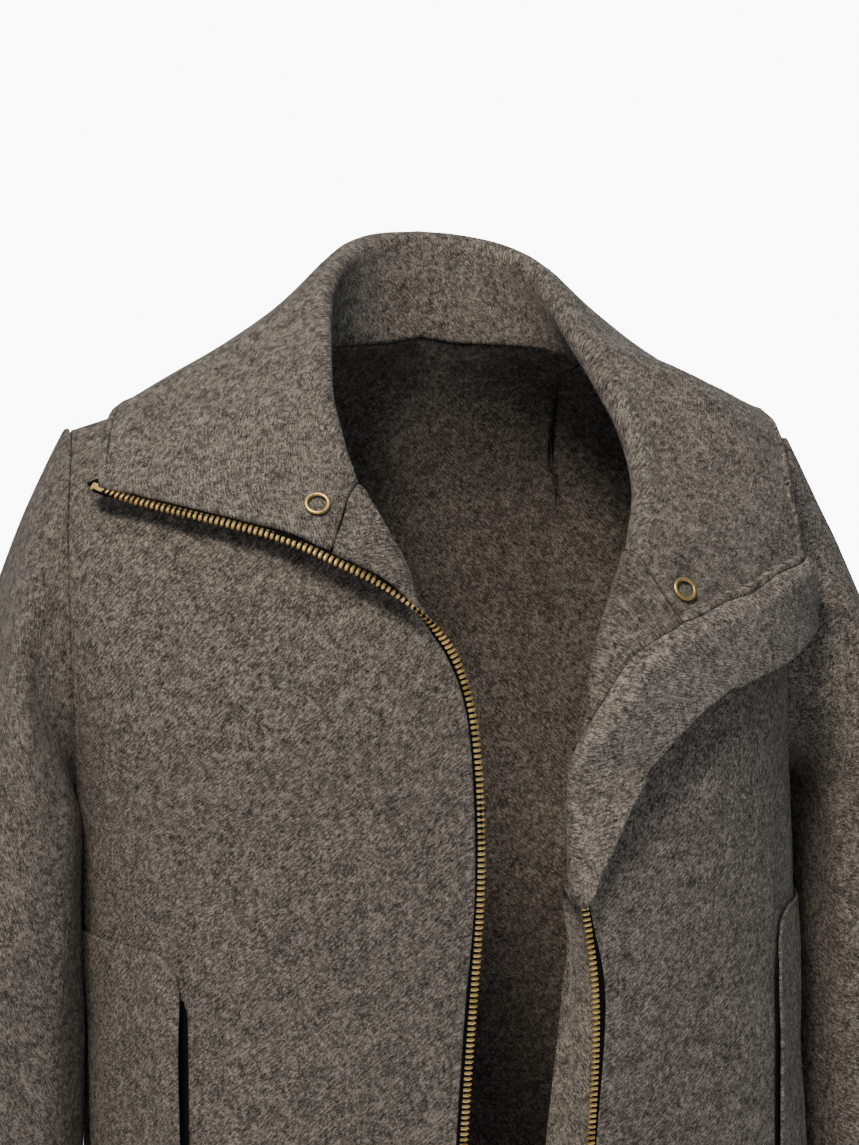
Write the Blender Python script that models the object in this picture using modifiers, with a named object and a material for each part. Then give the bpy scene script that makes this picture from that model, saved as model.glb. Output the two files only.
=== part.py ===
# Stand-collar wool jacket, worn open with the high collar turned back on both sides.
# The cloth hangs as hollow walls round a general figure. Front faces -Y, +Z is up, and
# the origin is the middle of the neck base, where the wearer's shoulders carry it.
import math

import bpy
import numpy as np
from mathutils import Matrix, Vector

MM = 0.001

# Driving dimensions, in millimetres.
CLOTH = 2.4            # wall of the wool body cloth
FACING = 2.0           # wall of the collar's and fronts' inner layer
GAP = 0.4              # room left at a seam
SHOULDER_PULL = 1.5    # more room where the two shoulder edges lean together
LAYER_GAP = 0.5        # room left between two layers of cloth
FOLD_RADIUS = 2.6      # outer face of the cloth inside the rolled-back fold
ROLL_REACH = 8.0       # visible fold edge to the flat cloth behind it
DRAPE_WIDEN = 20.0     # the turned-back cloth rides over the sleeve head
SHOULDER_Y = 8.0       # shoulder and side seams, behind the neck centre
NECK_X = 79.0          # side neck point
NECK_Z = -8.0
SHOULDER_SLOPE = {-1: 0.31, 0: 0.36, 1: 0.40}  # right, between the neck points, left
UNDERARM_Z = -235.0
HEM_Z = -620.0
SIDE_POWER = 2.5
FRONT_HOLD = 6.0       # how late a panel's rows bend to its neckline
BACK_HOLD = 3.0
FRONT_SPREAD = 1.6     # how the columns crowd toward the side
FRONT_TOP_POWER = 2.2
BACK_TOP_POWER = 2.8
FRONT_TOP_START = -200.0
BACK_TOP_START = -160.0
TAPE_WIDTH = 3.0
TAPE_THICK = 1.0
CHAIN_WIDTH = 4.5
CHAIN_THICK = 2.4
CHAIN_START = 3.6      # cloth edge to the near side of the teeth
GUARD_THICK = 2.6
GUARD_FOLD = 4.0
GUARD_BACK = 1.4       # cloth's inner face to the guard
POCKET_THICK = 2.2
SNAP_RADIUS = 5.4
SNAP_WIRE = 1.1

# Torso of the general figure, by height.
TORSO = (
    ("z", "right_width", "left_width", "front_depth", "back_depth"),
    (-620, 211, 211, 128, 114),
    (-450, 200, 203, 130, 106),
    (-350, 203, 197, 133, 109),
    (-300, 206, 194, 134, 112),
    (-235, 208, 190, 135, 117),
    (-180, 220, 189, 131, 118),
    (-120, 224, 191, 122, 112),
    (-50, 212, 205, 105, 98),
    (0, 205, 205, 95, 85),
    (60, 205, 205, 90, 80),
)

# Half width of the armhole seam seen from the front, by height.
ARMHOLE = (
    ("z", "right_x", "left_x"),
    (-235, 207, 189),
    (-205, 209, 183),
    (-175, 211, 179),
    (-140, 212, 180),
    (-105, 211, 184),
    (-75, 208, 191),
    (-50, 203, 200),
)

# A row for each level of a front: side height, then the visible front or fold edge, the
# cloth's own zip edge, and how far that edge stands off the chest.
FRONT_COLUMNS = ("side_z", "fold_x", "fold_z", "edge_x", "edge_z", "lift")
FRONT_RIGHT = (
    FRONT_COLUMNS,
    (-620, -40, -620, -40, -620, 0),
    (-520, -36, -520, -36, -520, 0),
    (-430, -33, -430, -33, -430, 0),
    (-340, -28, -338, -28, -338, 0),
    (-280, -23, -273, -23, -273, 0),
    (-235, -24, -218, -24, -218, 0),
    (-205, -27, -182, -27, -182, 0),
    (-175, -34, -158, -34, -158, 0),
    (-140, -40, -136, -43, -136, 7),
    (-105, -49, -112, -60, -122, 11),
    (-75, -58, -91, -77, -112, 12),
    (-50, -69, -68, -86, -108, 12),
)
FRONT_LEFT = (
    FRONT_COLUMNS,
    (-620, 43, -620, 43, -620, 0),
    (-520, 46, -520, 46, -520, 0),
    (-430, 48, -430, 48, -430, 0),
    (-340, 53, -338, 53, -338, 0),
    (-280, 43, -283, 43, -283, 0),
    (-235, 37, -236, 37, -236, 0),
    (-205, 36, -207, 38, -206, 6),
    (-175, 38, -184, 45, -187, 10),
    (-140, 42, -161, 58, -165, 12),
    (-105, 50, -139, 72, -155, 12),
    (-75, 60, -118, 82, -150, 12),
    (-50, 67, -103, 87, -147, 12),
)

# A row for each station of the collar: its neck seam, the top of its fold, and its outer
# edge, from the right front's neck seam round the back to the left front's.
COLLAR_COLUMNS = ("seam_x", "seam_y", "seam_z", "fold_x", "fold_y", "fold_z",
                  "edge_x", "edge_y", "edge_z", "sag", "clear")
COLLAR_RIGHT = (
    COLLAR_COLUMNS,
    (-79, -72, -72, -69, -78, -67, -88, -105, -102, 0, 1),
    (-83, -58, -54, -72, -66, -51, -106, -97, -93, 1, 6),
    (-84, -42, -38, -73, -50, -31, -128, -87, -87, 2, 6),
    (-83, -24, -22, -71, -33, -14, -156, -73, -80, 2, 6),
    (-81, -6, -12, -68, -16, 2, -178, -58, -75, 2, 6),
    (-77, 14, -8, -65, 2, 18, -195, -43, -69, 3, 6),
    (-68, 28, -3, -61, 18, 34, -183, -8, -41, 3, 4),
    (-55, 42, 2, -52, 34, 46, -152, 44, -36, 4, 4),
    (-38, 54, 4, -38, 49, 55, -104, 74, -27, 4, 4),
    (-20, 61, 4, -20, 59, 60, -53, 90, -19, 4, 5),
    (0, 63, 4, 0, 63, 62, 0, 96, -15, 4, 5),
)
COLLAR_LEFT = (
    COLLAR_COLUMNS,
    (78, -92, -107, 67, -98, -104, 90, -119, -144, 0, 1),
    (86, -76, -85, 75, -85, -80, 101, -115, -141, 1, 6),
    (87, -64, -66, 76, -75, -63, 117, -109, -135, 1, 6),
    (86, -48, -48, 75, -62, -45, 134, -101, -132, 2, 6),
    (85, -30, -30, 71, -47, -27, 152, -89, -125, 3, 6),
    (83, -10, -14, 68, -30, -11, 175, -73, -118, 5, 6),
    (79, 10, -8, 65, -12, 6, 175, -65, -97, 5, 9),
    (73, 22, -6, 62, 4, 22, 175, -55, -76, 6, 10),
    (60, 38, 0, 56, 26, 42, 181, -5, -48, 8, 6),
    (42, 52, 3, 41, 47, 54, 138, 50, -38, 8, 3),
    (21, 61, 4, 21, 59, 60, 76, 84, -25, 5, 4),
    (0, 63, 4, 0, 63, 62, 0, 96, -15, 4, 5),
)
CORNER_ROW = 5         # the station that runs to the collar's front corner
NECK_STATIONS = {-1: 4, 1: 5}  # last station in front of the shoulder seam, on each side

ARMHOLE_GAP = 1.1
HEAD_GAP = 1.6         # more room at the top, where the sleeve head falls away steeply
SLEEVE_CLEAR = 3.0     # sleeve to the side of the torso
POCKET_CLEAR = 9.0     # sleeve to the side of the torso, where the pocket is between them
HEAD_SLOPE = 1.8       # how steeply the sleeve head falls from the shoulder point

# Sleeve rings below the armhole: centre, half width across and along the figure, tilt.
SLEEVE = (
    ("x", "y", "z", "across", "along", "tilt_deg"),
    (238, 4, -255, 38, 72, 14),
    (247, 5, -320, 45, 70, 9),
    (252, 2, -400, 47, 64, 4),
    (258, -9, -490, 42, 56, 2),
    (264, -24, -590, 35, 48, 2),
)

# The zip guard by front row: how far it runs on flat, how it leans into the opening, and
# its free edge where it is turned back over the chest.
GUARD = (
    ("front_row", "flat", "lean_deg", "outer_x", "outer_z", "lift"),
    (0, 40, 40, 0, 0, 0),
    (1, 40, 50, 0, 0, 0),
    (2, 40, 59, 0, 0, 0),
    (3, 40, 65, 0, 0, 0),
    (4, 40, 76, 0, 0, 0),
    (4.5, 12, 26, 30, -262, 7),
    (5, 9, 16, 49, -243, 11),
    (7, 9, 0, 70, -207, 13),
    (8, 10, 0, 86, -194, 14),
    (9, 10, 0, 97, -186, 15),
    (10, 10, 0, 106, -182, 15),
    (11, 10, 0, 111, -180, 15),
    (12, 10, 0, 121, -176, 15),
    (13, 10, 0, 133, -172, 15),
    (14, 10, 0, 146, -168, 15),
    (15, 10, 0, 158, -162, 15),
    (16, 10, 0, 176, -155, 18),
)
GUARD_FIRST_TURNED = 4.5
FACING_START = {-1: 10, 1: 13}  # first grid row of a front that shows its inner layer

# Patch pocket on each side: its front edge, top, bottom and rounded top corner.
POCKET_FRONT_X = 162.0
POCKET_TOP = -306.0
POCKET_BOTTOM = -480.0
POCKET_CORNER = 22.0
POCKET_LIFT = 2.0
POCKET_REACH = 0.99    # share of the half width that the pocket runs back to
POCKET_ROWS = 9
POCKET_COLUMNS = 8

# The zip's lower end: slider parked on its box, and the pull tab hung from the slider.
ZIP_END_RISE = 24.0
FIRST_ROW_RISE = 50.0
BOX_SIZE = (8.0, 6.0, 7.0)
SLIDER_SIZE = (10.0, 7.0, 13.0)
LUG_SIZE = (2.4, 5.0, 5.4)
LUG_HOLE = 1.5
LUG_ROOT = 0.6
TAB_SIZE = (8.4, 1.4, 30.0)
TAB_WINDOW = (4.6, 5.0)
TAB_BAR = 1.4
TAB_STAND_OFF = 2.4    # slider face to the middle of the tab
PIN_SIZE = (2.4, 2.2, 20.0)
STOP_SIZE = (4.4, 3.0, 6.5)

# Where the two ring snaps sit on the collar's inner layer.
SNAP_RIGHT = (-93.0, -92.0, -82.0)
SNAP_LEFT = (94.0, -114.0, -126.0)

# How finely each loft is cut.
ROW_CUTS = 2
BACK_LOWER_ROWS = 6
BACK_UPPER_ROWS = 8
SHOULDER_CUTS = 5
ARC_CUTS = 3
LAPEL_CUTS = 2
STAND_CUTS = 2
FALL_CUTS = 4
CAP_RINGS = 5
RING_CUTS = 14

MATERIALS = {
    "wool": ((0.125, 0.108, 0.090, 1.0), 0.95, 0.0),
    "wool_facing": ((0.165, 0.143, 0.122, 1.0), 0.95, 0.0),
    "tape": ((0.012, 0.012, 0.014, 1.0), 0.80, 0.0),
    "brass": ((0.62, 0.45, 0.22, 1.0), 0.32, 1.0),
}


def clear_scene():
    for item in list(bpy.data.objects):
        bpy.data.objects.remove(item, do_unlink=True)


def make_material(name):
    color, roughness, metallic = MATERIALS[name]
    material = bpy.data.materials.new(name)
    material.use_nodes = True
    shader = material.node_tree.nodes["Principled BSDF"]
    shader.inputs["Base Color"].default_value = color
    shader.inputs["Roughness"].default_value = roughness
    shader.inputs["Metallic"].default_value = metallic
    return material


def unit(v):
    v = np.asarray(v, dtype=float)
    return v / np.maximum(np.linalg.norm(v, axis=-1, keepdims=True), 1e-9)


def spline(rows, t):
    """Smooth curve through the rows, at row numbers t (Catmull-Rom with eased slopes)."""
    rows = np.asarray(rows, dtype=float)
    t = np.atleast_1d(np.asarray(t, dtype=float))
    last = len(rows) - 1
    i = np.clip(np.floor(t).astype(int), 0, last - 1)
    f = (t - i)[:, None]
    steps = np.diff(rows, axis=0)
    slopes = np.vstack([steps[:1], 0.5 * (steps[1:] + steps[:-1]), steps[-1:]])
    same_way = np.vstack([steps[:1] * steps[:1], steps[1:] * steps[:-1], steps[-1:] * steps[-1:]]) > 0
    slopes = np.where(same_way, slopes, 0.35 * slopes)
    p0, p1, m0, m1 = rows[i], rows[i + 1], slopes[i], slopes[i + 1]
    return ((2 * f**3 - 3 * f**2 + 1) * p0 + (f**3 - 2 * f**2 + f) * m0
            + (-2 * f**3 + 3 * f**2) * p1 + (f**3 - f**2) * m1)


def column(table, name):
    """One named column of a table, whose first row is its heading."""
    place = table[0].index(name)
    return np.array([row[place] for row in table[1:]], dtype=float)


def columns(table, *names):
    return np.stack([column(table, name) for name in names], -1)


def by_height(table, name, z):
    return np.interp(z, column(table, "z"), column(table, name))


def shoulder_z(x):
    """Height of the shoulder line over a place."""
    outer = np.where(x < 0, SHOULDER_SLOPE[-1], SHOULDER_SLOPE[1])
    slope = np.where(np.abs(x) < NECK_X, SHOULDER_SLOPE[0], outer)
    return NECK_Z - slope * (np.abs(x) - NECK_X)


def shoulder_x(side):
    """Shoulder point, from the centre."""
    return column(ARMHOLE, "right_x" if side < 0 else "left_x")[-1]


def half_width(x, z):
    return np.where(x < 0, by_height(TORSO, "right_width", z), by_height(TORSO, "left_width", z))


def half_depth(y, z):
    return np.where(y < SHOULDER_Y, by_height(TORSO, "front_depth", z), by_height(TORSO, "back_depth", z))


def side_round(x, wide):
    """Share of the torso's depth that is left at a distance from its middle."""
    inside = 1.0 - np.minimum(1.0, np.abs(x) / wide) ** SIDE_POWER
    return inside ** (1.0 / SIDE_POWER)


def torso_y(x, z, front):
    """Depth of the jacket's outer face at a place seen from the front or the back."""
    start = FRONT_TOP_START if front else BACK_TOP_START
    power = FRONT_TOP_POWER if front else BACK_TOP_POWER
    rise = np.clip((z - start) / (shoulder_z(x) - start), 0.0, 1.0)
    top = (1.0 - rise ** power) ** (1.0 / power)
    depth = by_height(TORSO, "front_depth" if front else "back_depth", z)
    reach = depth * side_round(x, half_width(x, z)) * top
    return SHOULDER_Y - reach if front else SHOULDER_Y + reach


def from_centre(points, widen):
    """How far out the points are for the figure, 1 on its face, and their rays from its core."""
    x, y, z = points[..., 0], points[..., 1], points[..., 2]
    front = y < SHOULDER_Y
    start = np.where(front, FRONT_TOP_START, BACK_TOP_START)
    power = np.where(front, FRONT_TOP_POWER, BACK_TOP_POWER)
    reach = np.maximum(half_depth(y, z) * side_round(x, half_width(x, z) + widen), 5.0)
    rise = np.maximum(0.0, z - start) / (shoulder_z(x) - start)
    ratio = ((np.abs(y - SHOULDER_Y) / reach) ** power + rise ** power) ** (1.0 / power)
    ray = np.stack([np.zeros_like(y), y - SHOULDER_Y, np.maximum(0.0, z - start)], -1)
    return np.maximum(ratio, 0.05), ray


def push_out(points, clearance):
    """Moves points that come too near the figure out to the given clearance."""
    points = np.array(points, dtype=float)
    for _ in range(3):
        ratio, ray = from_centre(points, DRAPE_WIDEN)
        length = np.maximum(np.linalg.norm(ray, axis=-1) / ratio, 1.0)
        scale = np.maximum(1.0, (1.0 + clearance / length) / ratio)
        points += ray * (scale - 1.0)[..., None]
    return points


def snap_on(points):
    """Moves points along their own rays on to the figure."""
    points = np.array(points, dtype=float)
    for _ in range(4):
        ratio, ray = from_centre(points, 0.0)
        points += ray * (1.0 / ratio - 1.0)[..., None]
    return points


def surface_point(x, z, front=True, lift=0.0):
    """Point on the outer face, moved off it along its own normal."""
    step = 0.5
    y = torso_y(x, z, front)
    dx = np.stack([np.full_like(y, 2 * step), torso_y(x + step, z, front) - torso_y(x - step, z, front),
                   np.zeros_like(y)], -1)
    dz = np.stack([np.zeros_like(y), torso_y(x, z + step, front) - torso_y(x, z - step, front),
                   np.full_like(y, 2 * step)], -1)
    normal = unit(np.cross(dx, dz))
    if not front:
        normal = -normal
    point = np.stack([x, y, z], -1)
    return point + normal * np.asarray(lift)[..., None], normal


def dot(a, b):
    return np.sum(a * b, axis=-1)


def square_to(v, axis):
    return unit(v - dot(v, axis)[..., None] * axis)


def fold_round(foot, toward, away, aim, radius, cuts):
    """Goes on from the foot, round a fold and off it in line with the aim."""
    along = np.cross(away, toward)
    reach = aim - foot
    t, n = float(reach @ toward), float(reach @ away) - radius
    distance = max(math.hypot(t, n), radius * 1.02)
    straight = math.sqrt(distance**2 - radius**2)
    turn = (math.atan2(n, t) + math.atan2(radius, straight)) % (2 * math.pi)
    if turn > 1.4 * math.pi:
        turn = 0.0
    total = radius * turn + straight
    first = min(math.pi * radius + 1.5, 0.8 * total)
    drift = float(reach @ along)
    points = []
    for k in range(1, cuts + 1):
        s = first * k / cuts
        angle = min(s / radius, turn)
        run = max(0.0, s - radius * turn)
        ahead = radius * math.sin(angle) + run * math.cos(turn)
        up = radius * (1 - math.cos(angle)) + run * math.sin(turn)
        points.append(foot + toward * ahead + away * up + along * drift * s / total)
    return np.array(points)


def straight_on(start, end, cuts):
    share = np.arange(1, cuts + 1)[:, None] / cuts
    return start + (end - start) * share


def collar_frames(side):
    """Seam, fold and edge points of one half of the collar, with the fold's directions."""
    table = COLLAR_RIGHT if side < 0 else COLLAR_LEFT
    seam = snap_on(columns(table, "seam_x", "seam_y", "seam_z"))
    fold = columns(table, "fold_x", "fold_y", "fold_z")
    edge = columns(table, "edge_x", "edge_y", "edge_z")
    run = unit(np.gradient(fold, axis=0))
    toward = square_to(fold - seam, run)
    away = unit(np.cross(toward, run)) * -side
    foot = fold - toward * ROLL_REACH
    return seam, foot, toward, away, edge, columns(table, "sag", "clear")


def collar_grid():
    """Stand, fold and fall of the collar, from the right front's seam round to the left's."""
    share = np.arange(1, FALL_CUTS + 1) / FALL_CUTS
    halves = []
    for side in (-1, 1):
        seam, foot, toward, away, edge, drape = collar_frames(side)
        rows = []
        for k, (sag, clear) in enumerate(drape):
            stand = straight_on(seam[k], foot[k], STAND_CUTS)
            arc = fold_round(foot[k], toward[k], away[k], edge[k], FOLD_RADIUS, ARC_CUTS)
            fall = straight_on(arc[-1], edge[k], FALL_CUTS)
            _, ray = from_centre(fall, DRAPE_WIDEN)
            fall -= unit(ray) * (sag * 4.0 * share * (1.0 - share))[:, None]
            fall = push_out(fall, clear)
            rows.append(np.vstack([seam[k:k + 1], stand, arc, fall]))
        halves.append(np.array(rows))
    right, left = halves
    return np.concatenate([right, left[::-1][1:]])


def side_x(side, z):
    """Half width of the panels at their side and armhole edges."""
    word = "right" if side < 0 else "left"
    return np.where(z < UNDERARM_Z, by_height(TORSO, word + "_width", z), by_height(ARMHOLE, word + "_x", z))


def along_line(points, cuts):
    """Even steps along a line of points."""
    points = np.asarray(points, dtype=float)
    length = np.concatenate([[0.0], np.cumsum(np.linalg.norm(np.diff(points, axis=0), axis=1))])
    at = np.linspace(0.0, length[-1], cuts + 1)
    return np.stack([np.interp(at, length, points[:, k]) for k in range(points.shape[1])], -1)


def filled(left, right, top, spread, hold):
    """Panel between its two edges, drawn up at the top to the line given."""
    count = len(left)
    level = np.linspace(0.0, 1.0, count)
    even = np.linspace(0.0, 1.0, len(top))
    rows = []
    for k in range(count):
        weight = level[k] ** hold
        share = (spread + (even - spread) * weight)[:, None]
        base = left[k] + (right[k] - left[k]) * share
        top_base = left[-1] + (right[-1] - left[-1]) * even[:, None]
        rows.append(base + weight * (top - top_base))
    return np.array(rows)


def front_grid(side):
    """One front, from its side edge over the chest, round the fold and out to the zip edge."""
    table = columns(FRONT_RIGHT if side < 0 else FRONT_LEFT, *FRONT_COLUMNS)
    count = (len(table) - 1) * ROW_CUTS + 1
    rows = spline(table, np.linspace(0, len(table) - 1, count))
    side_z, fold_x, fold_z, edge_x, edge_z, lift = rows.T
    fold, away = surface_point(fold_x, fold_z)
    run = unit(np.gradient(fold, axis=0))
    toward = unit(np.cross(away, run)) * side
    foot = fold - toward * ROLL_REACH
    foot, _ = surface_point(foot[:, 0], foot[:, 2])
    edge, _ = surface_point(edge_x, edge_z, lift=lift)
    seam, collar_foot, collar_toward, collar_away, collar_edge, _ = collar_frames(side)
    foot[-1], edge[-1] = collar_foot[0], collar_edge[0]
    toward[-1], away[-1] = collar_toward[0], collar_away[0]

    tip = side * shoulder_x(side)
    shoulder = [(tip, shoulder_z(tip)), (side * NECK_X, NECK_Z)]
    neckline = np.vstack([seam[NECK_STATIONS[side]::-1], foot[-1:]])
    top = np.vstack([along_line(shoulder, SHOULDER_CUTS), neckline[:, [0, 2]]])
    left = np.stack([side * side_x(side, side_z), side_z], -1)
    left[-1] = top[0]
    right = foot[:, [0, 2]]
    even = np.linspace(0.0, 1.0, len(top))
    flat = filled(left, right, top, even ** FRONT_SPREAD, FRONT_HOLD)
    panel = np.stack([flat[..., 0], torso_y(flat[..., 0], flat[..., 1], True), flat[..., 1]], -1)
    panel[:, -1] = foot
    panel[-1, SHOULDER_CUTS + 1:] = neckline

    grid = []
    for k in range(count):
        arc = fold_round(foot[k], toward[k], away[k], edge[k], FOLD_RADIUS, ARC_CUTS)
        lapel = straight_on(arc[-1], edge[k], LAPEL_CUTS)
        grid.append(np.vstack([panel[k], arc, lapel]))
    return np.array(grid)


def back_grid():
    """The whole back, from the right side seam to the left."""
    armhole_z = np.linspace(UNDERARM_Z, column(ARMHOLE, "z")[-1], BACK_UPPER_ROWS)
    z = np.concatenate([np.linspace(HEM_Z, UNDERARM_Z, BACK_LOWER_ROWS), armhole_z[1:]])
    right_seam = collar_frames(-1)[0][NECK_STATIONS[-1] + 1:]
    left_seam = collar_frames(1)[0][NECK_STATIONS[1] + 1:]
    neckline = np.vstack([right_seam, left_seam[::-1][1:]])
    slopes = []
    for side in (-1, 1):
        tip = side * shoulder_x(side)
        slopes.append(along_line([(tip, shoulder_z(tip)), (side * NECK_X, NECK_Z)], SHOULDER_CUTS))
    top = np.vstack([slopes[0], neckline[:, [0, 2]], slopes[1][::-1]])
    left = np.stack([-side_x(-1, z), z], -1)
    right = np.stack([side_x(1, z), z], -1)
    even = np.linspace(0.0, 1.0, len(top))
    flat = filled(left, right, top, 0.5 - 0.5 * np.cos(math.pi * even), BACK_HOLD)
    grid = np.stack([flat[..., 0], torso_y(flat[..., 0], flat[..., 1], False), flat[..., 1]], -1)
    grid[-1, SHOULDER_CUTS + 1:-SHOULDER_CUTS - 1] = neckline
    return grid


def clear_of_torso(points, side):
    """Moves a sleeve's points off the torso's side, so that it hangs close against it."""
    y, z = points[..., 1], points[..., 2]
    wide = by_height(TORSO, "right_width" if side < 0 else "left_width", z)
    out = 1.0 - np.minimum(1.0, np.abs(y - SHOULDER_Y) / half_depth(y, z)) ** SIDE_POWER
    clear = np.interp(z, (POCKET_TOP - 5.0, POCKET_TOP + 15.0), (POCKET_CLEAR, SLEEVE_CLEAR))
    nearest = wide * out ** (1.0 / SIDE_POWER) + clear
    points[..., 0] = np.maximum(points[..., 0], nearest)
    return points


def sleeve_grid(side):
    """A sleeve: rings from the armhole over the sleeve head and down to the cuff."""
    half = RING_CUTS // 2
    tip = shoulder_z(side * shoulder_x(side))
    arm_z = UNDERARM_Z + (tip - UNDERARM_Z) * (0.5 + 0.5 * np.cos(math.pi * np.arange(half + 1) / half))
    arm_x = side_x(side, arm_z)
    front, back = (np.stack([arm_x, torso_y(side * arm_x, arm_z, face), arm_z], -1) for face in (True, False))
    armhole = np.vstack([front, back[::-1][1:-1]])
    angle = 2 * math.pi * np.arange(RING_CUTS) / RING_CUTS
    armhole[:, 0] += ARMHOLE_GAP + HEAD_GAP * np.maximum(0.0, np.cos(angle)) ** 4
    table = columns(SLEEVE, *SLEEVE[0])
    rings = spline(table, np.linspace(0, len(table) - 1, 2 * (len(table) - 1) + 1))
    tubes = []
    for x, y, z, across, along, tilt in rings:
        drop = -np.cos(angle) * across * math.sin(math.radians(tilt))
        spread = np.cos(angle) * across * math.cos(math.radians(tilt))
        ring = np.stack([x + spread, y - np.sin(angle) * along, z + drop], -1)
        tubes.append(clear_of_torso(ring, side))
    first = tubes[0]
    span = np.linalg.norm(first - armhole, axis=1)[:, None]
    downward = HEAD_SLOPE * np.maximum(0.0, np.cos(angle))
    leave = unit(np.stack([np.ones(RING_CUTS), -0.25 * np.sin(angle), -downward], -1)) * span
    arrive = unit(tubes[1] - tubes[0]) * span
    cap = []
    for t in np.linspace(0.0, 1.0, CAP_RINGS + 1)[:-1]:
        cap.append((2 * t**3 - 3 * t**2 + 1) * armhole + (t**3 - 2 * t**2 + t) * leave
                   + (-2 * t**3 + 3 * t**2) * first + (t**3 - t**2) * arrive)
    grid = np.array(cap + tubes)
    grid[..., 0] *= side
    return grid


def grid_normals(grid, flip=False, wrap=False):
    """Normal at each grid point, stretched so that a layer keeps its thickness at a bend."""
    rows, cols = grid.shape[:2]
    if wrap:
        padded = np.concatenate([grid, grid[:, :1]], axis=1)
    else:
        padded = grid
    across = padded[:, 1:] - padded[:, :-1]
    up = padded[1:] - padded[:-1]
    faces = unit(np.cross(across[:-1] + across[1:], up[:, :-1] + up[:, 1:]))
    total = np.zeros((rows, cols, 3))
    parts = []
    for di in (0, 1):
        for dj in (0, 1):
            part = np.zeros((rows, cols, 3))
            if wrap:
                part[di:rows - 1 + di] = np.roll(faces, dj, axis=1)
            else:
                part[di:rows - 1 + di, dj:cols - 1 + dj] = faces
            parts.append(part)
            total += part
    normal = unit(total)
    cosine = np.ones((rows, cols))
    for part in parts:
        value = dot(part, normal)
        cosine = np.where(dot(part, part) > 0.5, np.minimum(cosine, value), cosine)
    normal = normal / np.clip(cosine, 0.75, 1.0)[..., None]
    return -normal if flip else normal


def pulled_in(grid, amount, sides):
    """Draws the named edges of a grid back along their own rows or columns."""
    grid = grid.copy()
    if "first_row" in sides:
        grid[0] += unit(grid[1] - grid[0]) * amount
    if "last_row" in sides:
        grid[-1] += unit(grid[-2] - grid[-1]) * amount
    if "first_col" in sides:
        grid[:, 0] += unit(grid[:, 1] - grid[:, 0]) * amount
    if "last_col" in sides:
        grid[:, -1] += unit(grid[:, -2] - grid[:, -1]) * amount
    return grid


def shell(name, grid, thickness, material, flip=False, wrap=False, middle=False):
    """A grid as one cloth wall, thickened inward from its outer face."""
    rows, cols = grid.shape[:2]
    faces = []
    for i in range(rows - 1):
        for j in range(cols if wrap else cols - 1):
            k = (j + 1) % cols
            corner = (i * cols + j, i * cols + k, (i + 1) * cols + k, (i + 1) * cols + j)
            faces.append(corner[::-1] if flip else corner)
    mesh = bpy.data.meshes.new(name)
    mesh.from_pydata([tuple(p) for p in (grid * MM).reshape(-1, 3)], [], faces)
    mesh.validate()
    item = bpy.data.objects.new(name, mesh)
    solid = item.modifiers.new("Wall", "SOLIDIFY")
    solid.thickness = thickness * MM
    solid.offset = 0.0 if middle else -1.0
    solid.use_even_offset = True
    solid.use_quality_normals = True
    finish(item, material)
    return item


def finish(item, material):
    item.data.materials.append(material)
    for face in item.data.polygons:
        face.use_smooth = True
    jacket.objects.link(item)


def block(name, size, centre, turn, material, bevel=0.4):
    """A small metal block with softened edges."""
    bpy.ops.mesh.primitive_cube_add(size=1.0)
    item = bpy.context.object
    item.name = name
    item.data.name = name
    for vertex in item.data.vertices:
        vertex.co = Vector([vertex.co[k] * size[k] * MM for k in range(3)])
    item.matrix_world = Matrix.Translation(Vector(centre) * MM) @ turn.to_4x4()
    if bevel:
        edge = item.modifiers.new("Edges", "BEVEL")
        edge.width = bevel * MM
        edge.segments = 2
    item.data.materials.append(material)
    move_to(item, jacket)
    return item


def move_to(item, collection):
    for other in list(item.users_collection):
        other.objects.unlink(item)
    collection.objects.link(item)


def axes(right, up):
    """Rotation whose Z follows one direction and whose X leans toward the other."""
    z = Vector(unit(up))
    x = Vector(unit(right))
    y = z.cross(x).normalized()
    x = y.cross(z)
    return Matrix((x, y, z)).transposed()


def combine(item, name, operation, size, centre, turn):
    """Joins a box to a piece, or takes it out of the piece."""
    cutter = block(name, size, centre, turn, None, 0.0)
    cutter.data.materials.clear()
    cutter.hide_render = True
    cutter.display_type = "WIRE"
    move_to(cutter, cutters)
    step = item.modifiers.new(name, "BOOLEAN")
    step.operation = operation
    step.solver = "EXACT"
    step.object = cutter


def inner_layer(grid, flip=False):
    """The same form one layer further in."""
    return grid - grid_normals(grid, flip) * (CLOTH + LAYER_GAP)


def edge_frames(front, collar, side):
    """Points of the zip edge, with their outward and outer-face directions, by table row."""
    flip = side > 0
    lapel = np.concatenate([front[:, -3:], collar[1:CORNER_ROW + 1, -3:]])
    points = lapel[:, -1]
    normals = grid_normals(lapel, flip)[:, -1]
    outs = unit(lapel[:, -1] - lapel[:, -2])
    run = unit(np.gradient(points, axis=0))
    normals = unit(normals)
    outs = square_to(outs, run)
    normals = unit(np.cross(outs, run)) * np.sign(dot(np.cross(outs, run), normals))[:, None]
    return points, outs, normals


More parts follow.
